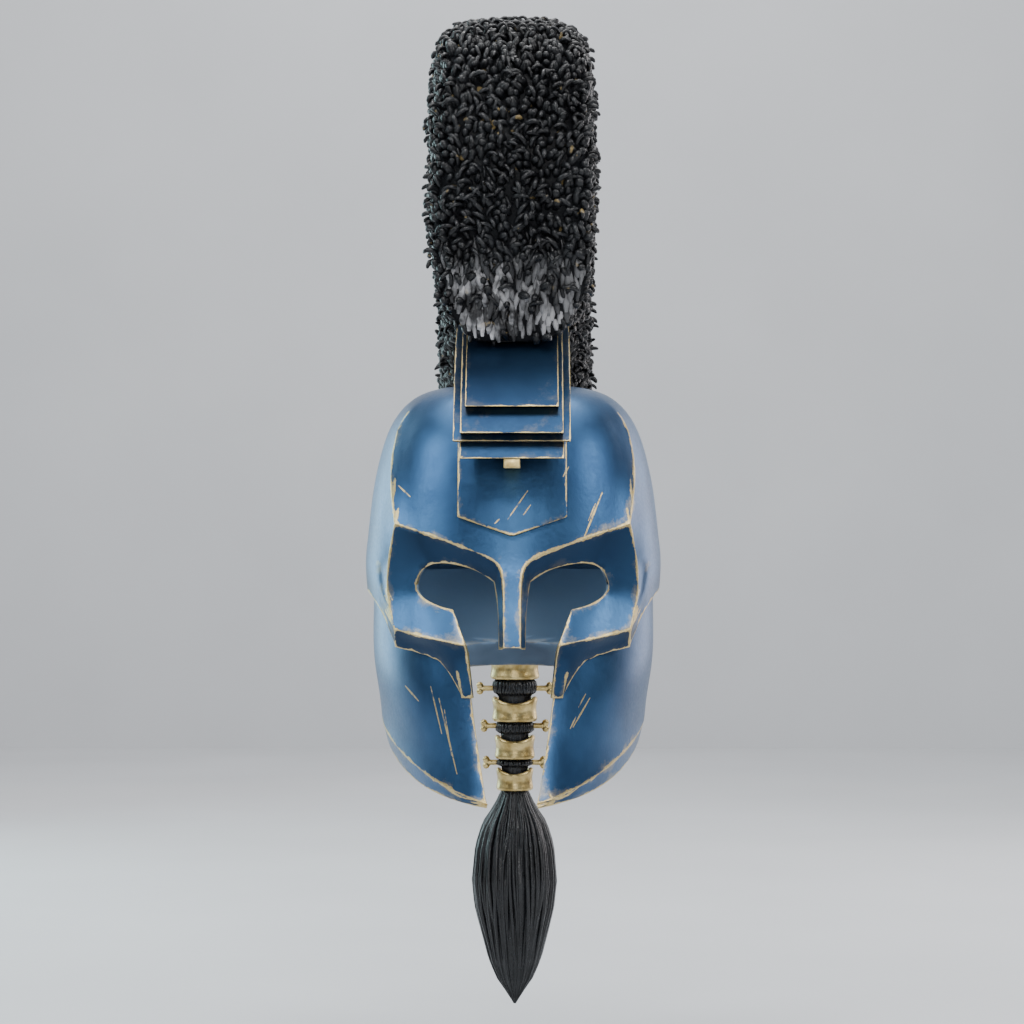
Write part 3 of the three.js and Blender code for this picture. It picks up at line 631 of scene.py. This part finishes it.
# Corners of the folds on one side, in millimetres
brow_fold = [(8, -130, -127), (17, -127, -121.5), (27, -123.5, -117.6), (37, -119.6, -114),
             (47, -114.7, -110), (58.5, -108, -106.2), (71, -98.8, -102.3), (83, -87.8, -98.4)]
temple_fold = [(76, -46, -17), (83, -52, -31), (86, -59, -49), (87, -69, -67),
               (85, -80, -83), (83, -87.8, -98.4), (88, -80.6, -122.4),
               (89.6, -78, -141.6), (88, -81.3, -157.5), (83, -92.3, -173.4)]
jaw_fold = [(18.7, -120.2, -295.8), (27.5, -118.6, -292.2), (36.8, -115, -288.2),
            (47, -107.2, -283.5), (57.6, -95.7, -278.1), (67.9, -80.6, -272),
            (77.5, -63.2, -265.2), (85.8, -44.8, -258), (92.3, -26, -250.7),
            (96.5, -7.2, -243.8), (98.5, 12.5, -236.6), (98.4, 33.8, -228.8),
            (95, 54.8, -220.1), (86.6, 73.4, -210.8), (74, 89.1, -202.3),
            (57.8, 100.8, -196.5), (39.2, 108.9, -192.9), (19.8, 113.8, -191.1),
            (0, 115.4, -190.6)]


def draw_back_strip(piece, line):
    """Draws the strip behind the lower temple back, so that only the temple itself folds."""
    for vertex in piece.data.vertices:
        side, y, z = abs(vertex.co.x), vertex.co.y, vertex.co.z
        in_strip = (side > STRIP_SIDE and STRIP_Y[0] < y < STRIP_Y[1]
                    and STRIP_Z[0] < z < STRIP_Z[1])
        if in_strip and line_distance(Vector((side, y, z)), line)[0] > STRIP_GAP:
            vertex.co += Vector((math.copysign(STRIP_OUT, vertex.co.x), STRIP_BACK, 0))


def outwardness(vertex):
    """Above 0 where the skin looks away from the helmet's upright axis, below 0 inside."""
    return vertex.normal.dot(vertex.co - Vector((0, 0, vertex.co.z)))


def raise_ridge(piece, lines, height, reach):
    """Lifts the outer side along the lines, most on the line and nothing beyond the reach."""
    for vertex in piece.data.vertices:
        if outwardness(vertex) <= 0:
            continue
        away = min(line_distance(vertex.co, line)[0] for line in lines)
        if away < reach:
            vertex.co += vertex.normal * height * (1 - away / reach)


def store_inside(piece):
    """Stores 1 at the points whose surface looks in towards the head, and 0 elsewhere."""
    store_numbers(piece, "inside",
                  [float(outwardness(vertex) < 0) for vertex in piece.data.vertices])


def store_painted_shade(piece, onset):
    """Stores how much the skin looks down, for the painted shade that lies there."""
    store_numbers(piece, "painted_shade", [min(1, max(0, -vertex.normal.z * PAINTED_SHADE_SLOPE - onset))
                                  for vertex in piece.data.vertices])


def both_sides(line):
    """A line in metres on the left and on the right side."""
    return [[Vector((x * side * MM, y * MM, z * MM)) for x, y, z in line] for side in (-1, 1)]


def smooth_shell(node, name, folds, ridge):
    """The smooth shell of a solid, with its folds kept and its worn edges measured."""
    piece = copied(node, name, [line for fold in folds for line in both_sides(fold)])
    draw_back_strip(piece, both_sides(temple_fold)[1])
    raise_ridge(piece, both_sides(ridge), RIDGE_HEIGHT, RIDGE_REACH)
    creased = crease_sharp_edges(piece, SHARP)
    subdivided(piece, 2)
    points = [point for point in worn_points(piece, FOLD_ANGLE)
              if not (point.y > HIDDEN_RIM.y and point.z > HIDDEN_RIM.z and node == "jaw_guard")]
    bevelled(piece, EDGE_WIDTH, SHARP)
    store_edge_distance(piece, points)
    store_inside(piece)
    smooth_look(piece, FOLD_ANGLE)
    print(name, "has", creased, "creased edges and", len(points), "worn points")
    return piece


skull = smooth_shell("skull_mask", "skull_shell", (brow_fold, temple_fold), temple_fold)
store_painted_shade(skull, 0.1)
finished(skull, shell_blue, "blue_metal", "skull_mask")
jaw = smooth_shell("jaw_guard", "jaw_shell", (jaw_fold,), jaw_fold[:10])
store_painted_shade(jaw, 2.2)
finished(jaw, shell_blue, "blue_metal", "jaw_guard")

# %% [markdown]
# The forehead plate is a thin raised plate with a clean edge. Its solid has the right form,
# so a copy only needs its edges bevelled and its face smoothed.

# %% Forehead plate
plate = copied("forehead_plate", "forehead_plate_metal")
plate_points = worn_points(plate, SHARP)
bevelled(plate, EDGE_WIDTH, SHARP)
subdivided(plate, 2, "SIMPLE")
store_edge_distance(plate, plate_points)
smooth_look(plate)
finished(plate, shell_blue, "blue_metal", "forehead_plate")

# %% [markdown]
# The crest holder is a stepped arc of four tiers. A tier is a flat bar bent round the
# skull, so it is made as a smith would: the bar's cross-section is a plane, Spin sweeps it
# round the arc, and Bisect cuts both ends level. The section is divided first, and the cut
# ends get an inner border, both close to the edges, so that each face has points of its own
# to say how far the edge is. The four tiers are joined and bevelled as one.

# %% Crest holder
ARC_CENTRE = Vector((0, 6 * MM, -120 * MM))
SPIN_STEPS = 180
BORDER = 1.6 * MM
CORNER = math.radians(40)
HOLDER_EDGE = 1.0 * MM
# Inner radius, outer radius, half width and drop of the ends, in millimetres
tiers = [(158, 166.5, 36.3, 52.6), (166.0, 171.5, 40.9, 40.5), (171.0, 178.5, 35.8, 35.0),
         (178.0, 185.5, 32.4, 16.5)]


def tier_bar(number, inner, outer, half, drop):
    """One tier: its section is cut near the edges, spun round the arc and cut off level."""
    deselect_all()
    middle = ARC_CENTRE + Vector((0, -(inner + outer) / 2 * MM, 0))
    bpy.ops.mesh.primitive_plane_add(size=1, location=middle)
    bar = bpy.context.object
    bar.name = f"tier_{number}"
    bar.scale = (2 * half * MM, (outer - inner) * MM, 1)
    bpy.ops.object.transform_apply(location=True, rotation=True, scale=True)
    in_edit_mode(bar)
    bpy.ops.mesh.subdivide(number_cuts=3)
    bpy.ops.object.mode_set(mode="OBJECT")
    # Three cuts each way: the outer two move to the border, the middle one stays
    for vertex in bar.data.vertices:
        for axis, size in ((0, half * MM), (1, (outer - inner) / 2 * MM)):
            share = (vertex.co[axis] - middle[axis]) / size
            if 0.1 < abs(share) < 0.9:
                vertex.co[axis] = middle[axis] + math.copysign(size - BORDER, share)
    bpy.ops.object.mode_set(mode="EDIT")
    bpy.ops.mesh.spin(steps=SPIN_STEPS, angle=math.pi, center=ARC_CENTRE, axis=(1, 0, 0))
    bpy.ops.mesh.select_all(action="SELECT")
    bpy.ops.mesh.remove_doubles(threshold=MERGE_REACH)
    bpy.ops.mesh.bisect(plane_co=(0, 0, -drop * MM), plane_no=(0, 0, 1), use_fill=True,
                        clear_inner=True)
    bpy.ops.mesh.select_all(action="SELECT")
    bpy.ops.mesh.normals_make_consistent(inside=False)
    bpy.ops.mesh.select_all(action="DESELECT")
    bpy.ops.object.mode_set(mode="OBJECT")
    for face in bar.data.polygons:
        face.select = len(face.vertices) > 4
    bpy.ops.object.mode_set(mode="EDIT")
    bpy.ops.mesh.inset(thickness=BORDER)
    bpy.ops.object.mode_set(mode="OBJECT")
    return bar


bars = [tier_bar(i + 1, *tier) for i, tier in enumerate(tiers)]
deselect_all()
for bar in bars:
    bar.select_set(True)
bpy.context.view_layer.objects.active = bars[0]
bpy.ops.object.join()
holder = bars[0]
holder.name = "crest_holder_metal"
holder_points = worn_points(holder, CORNER)
bevelled(holder, HOLDER_EDGE, CORNER)
store_edge_distance(holder, holder_points)
store_painted_shade(holder, 0.1)
smooth_look(holder)
finished(holder, holder_shaded_blue, "blue_metal", "crest_holder")

# %% [markdown]
# Two plain bronze pegs carry the holder. Their solids are right, so each copy only gets
# soft edges.

# %% Pegs
PEG_EDGE = 0.6 * MM
for node in ("crest_peg_front", "crest_peg_back"):
    peg = copied(node, node + "_bronze")
    bevelled(peg, PEG_EDGE, CORNER)
    smooth_look(peg)
    finished(peg, ring_bronze, "bronze", node)

# %% [markdown]
# The rings are cast collars with a narrow waist and a top edge that dips at the front. The
# solid's outline, subdivided, gives their rounded rolls. Subdividing pulls a round form in
# a little, so each ring is first widened by that much.

# %% Rings
TAIL_Y = 168 * MM
RING_SIDES = 14
ROUND = math.radians(60)
ring_growth = 3 / (2 + math.cos(2 * math.pi / RING_SIDES))
for number in range(1, 5):
    node = f"tail_ring_{number}"
    ring = copied(node, node + "_bronze")
    ring.data.transform(Matrix.Translation((0, TAIL_Y, 0))
                        @ Matrix.Diagonal((ring_growth, ring_growth, 1, 1))
                        @ Matrix.Translation((0, -TAIL_Y, 0)))
    subdivided(ring, 3)
    smooth_look(ring, ROUND)
    finished(ring, ring_bronze, "bronze", node)

# %% [markdown]
# Each pin ends in a double knob, like a small bone. A voxel remesh of the joined solid
# melts the knobs into the shaft, and a few rounds of smoothing take the steps away.

# %% Pins
for number in range(1, 4):
    node = f"tail_pin_{number}"
    pin = copied(node, node + "_bronze")
    apply_modifier(pin, "REMESH", mode="VOXEL", voxel_size=0.5 * MM)
    apply_modifier(pin, "SMOOTH", factor=0.5, iterations=7)
    smooth_look(pin, ROUND)
    finished(pin, ring_bronze, "bronze", node)

# %% [markdown]
# The tail is one bundle of straight hair. Between the rings it swells, and below them it
# opens into a leaf-shaped brush. A dark body with fine upright grooves fills it, and some
# two hundred separate strands lie on top. The body is made first, from the outline that
# the strands will follow too.

# %% Tail body
random.seed(7)
BRUSH_TOP_DROP = 313.8
BRUSH_END_DROP = 485.3
BRUSH_RADIUS = 33.8
TAIL_SIDES = 120
ROW_STEP = 2.0
BODY_SHARE = 0.97
BRUSH_GROOVES = 0.05
BUNDLE_GROOVES = 0.035
# Drop and radius in millimetres down to the brush, from the solid
bundle_line = [(206.4, 15.0), (224.6, 15.0), (227.4, 17.3), (234.6, 17.3), (237.4, 13.3),
               (258.6, 13.3), (261.4, 14.9), (265.6, 14.9), (268.4, 11.3), (288.8, 11.3),
               (291.5, 14.6), (291.9, 14.6), (294.6, 10.6), (313.8, 10.6)]
# Way down the brush and radius as shares
brush_line = [(0.02, 0.345), (0.08, 0.5), (0.155, 0.75), (0.26, 0.92), (0.42, 1.0),
              (0.54, 0.935), (0.66, 0.785), (0.795, 0.61), (0.88, 0.42), (0.95, 0.175),
              (1.0, 0.03)]
brush_length = BRUSH_END_DROP - BRUSH_TOP_DROP
tail_line = bundle_line + [(BRUSH_TOP_DROP + way * brush_length, radius * BRUSH_RADIUS)
                           for way, radius in brush_line]


def line_radius(drop):
    """Radius of the tail at a drop, along its outline."""
    for (drop_a, radius_a), (drop_b, radius_b) in zip(tail_line, tail_line[1:]):
        if drop <= drop_b:
            return radius_a + (radius_b - radius_a) * (drop - drop_a) / (drop_b - drop_a)
    return tail_line[-1][1]


def tail_place(angle, drop, radius):
    """A point round the tail's axis, from millimetres."""
    return Vector((math.cos(angle) * radius * MM, TAIL_Y - math.sin(angle) * radius * MM,
                   -drop * MM))


def ring_faces(rows, sides):
    """Faces of a closed body made of rings of points, with a point at each end."""
    faces = []
    for row in range(rows - 1):
        for k in range(sides):
            after = (k + 1) % sides
            faces.append((row * sides + k, row * sides + after, (row + 1) * sides + after,
                          (row + 1) * sides + k))
    first, last = rows * sides, rows * sides + 1
    base = (rows - 1) * sides
    faces += [(first, (k + 1) % sides, k) for k in range(sides)]
    faces += [(last, base + k, base + (k + 1) % sides) for k in range(sides)]
    return faces


def new_mesh(name, points, faces):
    mesh = bpy.data.meshes.new(name)
    mesh.from_pydata(points, [], faces)
    mesh.validate()
    piece = bpy.data.objects.new(name, mesh)
    bpy.context.scene.collection.objects.link(piece)
    return piece


def outward(piece):
    """Turns a closed mesh's faces outwards."""
    in_edit_mode(piece)
    bpy.ops.mesh.normals_make_consistent(inside=False)
    bpy.ops.object.mode_set(mode="OBJECT")


groove_starts = [random.uniform(0, 2 * math.pi) for _ in range(4)]


def groove(angle, drop):
    """Height of the grooved hair surface, from -1 to 1."""
    drift = math.sin(drop * 0.03 + groove_starts[0]) * 0.06
    wide = math.sin(13 * (angle + drift) + groove_starts[1])
    fine = math.sin(31 * (angle - drift) + groove_starts[2])
    finest = math.sin(53 * angle + groove_starts[3])
    return 0.45 * wide + 0.33 * fine + 0.22 * finest


tail_points = []
tail_rows = int((tail_line[-1][0] - tail_line[0][0]) / ROW_STEP) + 2
for row in range(tail_rows):
    drop = min(tail_line[-1][0], tail_line[0][0] + row * ROW_STEP)
    depth = BRUSH_GROOVES if drop > BRUSH_TOP_DROP else BUNDLE_GROOVES
    for k in range(TAIL_SIDES):
        angle = 2 * math.pi * k / TAIL_SIDES
        share = BODY_SHARE + depth * groove(angle, drop)
        tail_points.append(tail_place(angle, drop, line_radius(drop) * share))
tail_points += [tail_place(0, tail_line[0][0], 0), tail_place(0, tail_line[-1][0], 0)]
tail = new_mesh("tail_body", tail_points, ring_faces(tail_rows, TAIL_SIDES))
outward(tail)
smooth_look(tail, math.radians(50))
finished(tail, tail_black, "hair", "tail_hair")

# %% [markdown]
# Strands and locks are tubes: a spine of points, and a thickness at each. A bunch gathers
# thousands of them into one mesh.

# %% Strands and locks as tubes
TUBE_SIDES = 6
TUBE_LOOK = math.radians(75)


def tube(spine, radii, aside):
    """Points of a closed tube along a spine that starts and ends in a point."""
    points = []
    for i, radius in enumerate(radii):
        ahead = (spine[i + 1] - spine[max(0, i - 1)]).normalized()
        across = ahead.cross(aside).normalized()
        up = across.cross(ahead)
        for k in range(TUBE_SIDES):
            angle = 2 * math.pi * k / TUBE_SIDES
            points.append(spine[i] + across * (math.cos(angle) * radius)
                          + up * (math.sin(angle) * radius))
    return points + [spine[0], spine[-1]]


class Bunch:
    """Gathers many tubes into one mesh, with a painted highlight number at every point."""

    def __init__(self, name, material):
        self.name, self.material = name, material
        self.points, self.faces, self.painted_highlights = [], [], []

    def add(self, points, painted_highlight=0.0):
        base = len(self.points)
        rings = (len(points) - 2) // TUBE_SIDES
        self.points += points
        self.faces += [tuple(base + i for i in face) for face in ring_faces(rings, TUBE_SIDES)]
        self.painted_highlights += [painted_highlight] * len(points)

    def build(self):
        piece = new_mesh(self.name, self.points, self.faces)
        store_numbers(piece, "painted_highlight", self.painted_highlights)
        outward(piece)
        smooth_look(piece, TUBE_LOOK)
        finished(piece, self.material, "hair")


# %% [markdown]
# A strand of the tail follows the body's outline down, with a slight sway. Long ones cover
# the brush and end at three different lengths. Short ones cover the hair between the rings.

# %% Strands of the tail
BRUSH_STRANDS = 80
COVER_STRANDS = 44
SWAY = 0.09
# Top and foot of the open hair between two rings, as drops in millimetres
open_hair = ((224.8, 237.2), (258.8, 268.2), (289.0, 294.4))


def tail_strand(angle, start, end, rings, thickness):
    """A strand that follows the tail's outline from one drop to another."""
    sway = random.uniform(-SWAY, SWAY)
    spine, radii = [], []
    for i in range(rings + 1):
        way = i / rings
        drop = start + (end - start) * way
        turned = angle + sway * math.sin(way * 5)
        spine.append(tail_place(turned, drop, line_radius(drop) * 0.985))
        radii.append(thickness * MM * min(1, 0.45 + 3 * way, 0.15 + 2.2 * (1 - way)))
    return tube(spine, radii[:-1], tail_place(angle, 0, 1) - tail_place(angle, 0, 0))


strands = Bunch("tail_strands", tail_black)
for k in range(BRUSH_STRANDS):
    angle = 2 * math.pi * (k + random.uniform(-0.4, 0.4)) / BRUSH_STRANDS
    end = BRUSH_END_DROP - random.uniform(1, 60) * (k % 3)
    strands.add(tail_strand(angle, BRUSH_TOP_DROP + 1, min(end, BRUSH_END_DROP - 2), 18,
                            random.uniform(0.9, 2.1)))
for top, foot in open_hair:
    for k in range(COVER_STRANDS):
        angle = 2 * math.pi * (k + random.uniform(-0.3, 0.3)) / COVER_STRANDS
        strands.add(tail_strand(angle, top, foot, 6, random.uniform(0.9, 1.3)))
strands.build()

# %% [markdown]
# The plume is a dense brush of short locks over a dark core. The core is the solid itself,
# rounded and drawn in a little.

# %% Plume core
CORE_DEPTH = 3.2 * MM
core = copied("plume", "plume_core")
subdivided(core, 1)
apply_modifier(core, "DISPLACE", strength=-CORE_DEPTH, mid_level=0.0)
smooth_look(core, ROUND)
finished(core, core_black, "hair", "plume")

# %% [markdown]
# Locks grow at even random places on the core: a random point is kept when no other lies
# nearer than the spacing.

# %% Places for the locks
SPACING = 4.0 * MM
TRIES = 90000


def scattered(piece, spacing, seed, tries):
    """Even random places on a mesh, each with its outward direction."""
    chance = random.Random(seed)
    mesh = piece.data
    mesh.calc_loop_triangles()
    corners = [tuple(mesh.vertices[i].co for i in tri.vertices) for tri in mesh.loop_triangles]
    areas = [((b - a).cross(c - a)).length for a, b, c in corners]
    cells = {}
    found = []
    for number in chance.choices(range(len(corners)), weights=areas, k=tries):
        a, b, c = corners[number]
        one, two = math.sqrt(chance.random()), chance.random()
        point = a * (1 - one) + b * (one * (1 - two)) + c * (one * two)
        cell = tuple(int(math.floor(value / spacing)) for value in point)
        near = (cells.get((cell[0] + i, cell[1] + j, cell[2] + k), ())
                for i in (-1, 0, 1) for j in (-1, 0, 1) for k in (-1, 0, 1))
        if any((point - other).length < spacing for group in near for other in group):
            continue
        cells.setdefault(cell, []).append(point)
        found.append((point, mesh.loop_triangles[number].normal.copy()))
    return found


places = scattered(core, SPACING, 11, TRIES)
print(len(places), "places for locks")

# %% [markdown]
# A lock is a bent tube of a few dozen faces. There are curls, blunt fingers and pointed
# flames. Each is a small table of rings, set thousands of times with its own length,
# thickness and bend.

# %% Shape of a lock
# Way along a lock and its thickness as shares: a curl, a blunt finger and a pointed flame
curl_rings = [(0.0, 0.9), (0.2, 1.0), (0.4, 1.0), (0.6, 1.0), (0.8, 0.85), (0.95, 0.5)]
finger_rings = [(0.0, 0.75), (0.3, 1.0), (0.62, 1.02), (0.86, 0.8), (0.97, 0.42)]
flame_rings = [(0.0, 0.5), (0.25, 1.0), (0.5, 0.9), (0.75, 0.55), (0.92, 0.2)]
chance = random.Random(23)


def random_way(size=1.0):
    return Vector([chance.uniform(-size, size) for _ in range(3)])


def lock_shape(outline, root, along, side, length, radius, bend):
    """A lock that grows along a direction and bends to a side."""
    spine = [root + along * (length * way) + side * (length * bend * way * way)
             for way in [ring[0] for ring in outline] + [1.0]]
    return tube(spine, [radius * thick for _, thick in outline], side)


def curl_shape(root, along, side, length, radius, turn):
    """A short curl that rises, leans over and points back to the core."""
    reach = length / turn
    turns = [turn * ring[0] for ring in curl_rings] + [turn]
    spine = [root + along * (reach * math.sin(part)) + side * (reach * (1 - math.cos(part)))
             for part in turns]
    return tube(spine, [radius * thick for _, thick in curl_rings], along.cross(side))


# %% [markdown]
# A lock's direction depends on where it grows. On the fan, fingers and curls stand along
# the spokes of the arc. Behind the neck the fingers turn down, lengthen and close in on the
# first ring. Low on the front grow long pointed flames, painted pale grey as a painted
# highlight. Small hoops stand in rows on the front of the outer edge. The locks are gathered
# in four meshes, left and right, front and back.

# %% Plume locks
ROOT_RADIUS = 185.5 * MM
HOLDER_FOOT = -50 * MM
RING_TOP = -203 * MM
GATHER_LENGTH = 80 * MM
CURLED = 0.42
FLAME_TOP = 88 * MM
FLAME_FRONT = -95 * MM
FLAME_FACING = -0.6
# How far up the painted highlight fades out
HIGHLIGHT_FADE = 45 * MM
BACK_STARTS = 40 * MM
FLAME_MIDDLE = 22 * MM
LOOP_REACH = 388 * MM
LOOP_STEP = 7.4 * MM
LOOP_THICKNESS = 1.1 * MM
LOOP_POINTS = 10
# The outer edge lies lower towards the sides of the fan: half its width, and how much lower
FAN_HALF = 45 * MM
SIDE_DROP = 9 * MM
# Turn of each row of hoops up from level, in degrees
loop_turns = (71, 74, 78, 83)
# Least and greatest length and radius of the locks, in millimetres
curl_sizes = ((12, 17), (1.4, 2.1))
finger_sizes = ((7, 11), (2.4, 3.5))
hanging_sizes = ((16, 24), (1.6, 2.4))
flame_sizes = ((12, 28), (1.7, 3.0))


def seated(point, normal):
    """True where the core rests on the holder or in the first ring: no lock grows there."""
    spoke = Vector((0, point.y - ARC_CENTRE.y, point.z - ARC_CENTRE.z))
    on_holder = spoke.length < ROOT_RADIUS + 2 * MM and point.z > HOLDER_FOOT
    in_ring = point.z < RING_TOP
    return in_ring or (on_holder and normal.dot(spoke.normalized()) < -0.2)


def gathered_share(point):
    """0 on the fan, 1 where the hair runs down behind the neck to the first ring."""
    if point.y < 0:
        return 0.0
    return min(1.0, max(0.0, (HOLDER_FOOT - point.z) / GATHER_LENGTH))


def fan_lock(point, normal):
    """A curl or a finger on the fan, or a longer hanging finger behind the neck."""
    spoke = Vector((0, point.y - ARC_CENTRE.y, point.z - ARC_CENTRE.z)).normalized()
    share = gathered_share(point)
    down = Vector((-point.x * 4, (TAIL_Y - point.y) * 2, -0.5)).normalized()
    stand = spoke * 0.85 + normal * 0.55 + random_way(0.3)
    hang = down + normal * 0.25 + random_way(0.12)
    along = (stand * (1 - share) + hang * share).normalized()
    side = along.cross(random_way()).normalized()
    root = point - normal * 1.2 * MM
    trim = 1 - 0.3 * abs(normal.x)
    if share < 0.5 and chance.random() < CURLED:
        return curl_shape(root + normal * 2.5 * MM * trim, along, side,
                          chance.uniform(*curl_sizes[0]) * trim * MM,
                          chance.uniform(*curl_sizes[1]) * MM, chance.uniform(1.9, 3.1))
    length = chance.uniform(*finger_sizes[0]) * trim * (1 - share)
    length += chance.uniform(*hanging_sizes[0]) * share
    length = min(length * MM, max(3 * MM, point.z - RING_TOP))
    radius = chance.uniform(*finger_sizes[1]) * (1 - share)
    radius += chance.uniform(*hanging_sizes[1]) * share
    return lock_shape(finger_rings, root, along, side, length, radius * MM,
                      chance.uniform(0.1, 0.7))


def flame_lock(point, normal):
    """A flame that rises from the root; near the sides it bends inwards."""
    along = Vector((point.x * 2.5, -0.25, 1.0)).normalized() + random_way(0.14)
    at_side = abs(point.x) > FLAME_MIDDLE
    bend = -math.copysign(1, point.x) if at_side else chance.choice((-1, 1))
    side = (Vector((bend, 0, 0)) - normal * 0.3).normalized()
    return lock_shape(flame_rings, point + normal * 1.2 * MM, along.normalized(), side,
                      chance.uniform(*flame_sizes[0]) * MM,
                      chance.uniform(*flame_sizes[1]) * MM, chance.uniform(0.05, 0.6))


def edge_loop(side, turn, radius):
    """A small hoop of hair that stands on the outer edge of the fan."""
    spoke = Vector((0, -math.cos(turn), math.sin(turn)))
    drop_at_side = SIDE_DROP * (abs(side) / FAN_HALF) ** 4
    foot = ARC_CENTRE + spoke * (radius - drop_at_side) + Vector((side, 0, 0))
    size = chance.uniform(3.4, 4.6) * MM
    lean = (spoke + random_way(0.35)).normalized()
    across = Vector((1, chance.uniform(-0.6, 0.6), 0)).normalized()
    turns = [k * math.pi / (LOOP_POINTS - 1) for k in range(LOOP_POINTS)]
    spine = [foot - across * (math.cos(part) * size) + lean * (math.sin(part) * size * 1.5)
             for part in turns]
    return tube(spine, [LOOP_THICKNESS] * (LOOP_POINTS - 1), spoke.cross(across))


quarters = {(side, depth): Bunch(f"plume_locks_{side}_{depth}", lock_black)
            for side in ("left", "right") for depth in ("front", "back")}
for point, normal in places:
    if seated(point, normal):
        continue
    depth = "front" if point.y < BACK_STARTS else "back"
    bunch = quarters["left" if point.x < 0 else "right", depth]
    if point.y >= FLAME_FRONT or point.z >= FLAME_TOP or normal.y >= FLAME_FACING:
        bunch.add(fan_lock(point, normal))
        continue
    # The painted highlight is palest on the left, and fades out upwards, where fingers mix in
    pale = 1.0 if point.x < 0 else 0.5
    height = min(1, (FLAME_TOP - point.z) / HIGHLIGHT_FADE)
    bunch.add(flame_lock(point, normal), pale * height * chance.choice((0.15, 0.6, 1, 1)))
    if chance.random() > 0.3 + height * 0.7:
        bunch.add(fan_lock(point, normal))
for row, turn in enumerate(loop_turns):
    for k in range(-6, 7):
        side = (k + 0.5 * (row % 2)) * LOOP_STEP
        name = "left" if side < 0 else "right"
        quarters[name, "front"].add(edge_loop(side, math.radians(turn), LOOP_REACH))
for bunch in quarters.values():
    bunch.build()

# %% [markdown]
# The floor and the wall are plain pale paint with a faint mottle.

# %% Floor finish
PAINT_DEEP = (0.46, 0.47, 0.49, 1)
PAINT_PALE = (0.54, 0.55, 0.57, 1)
floor_tree = Tree("pale_floor")
floor_tone = floor_tree.mix(floor_tree.noise(3, 3, 0.5), PAINT_DEEP, PAINT_PALE)
pale_paint = floor_tree.set(Base_Color=floor_tone, Roughness=0.7)
floor.data.materials.append(pale_paint)
wall.data.materials.append(pale_paint)
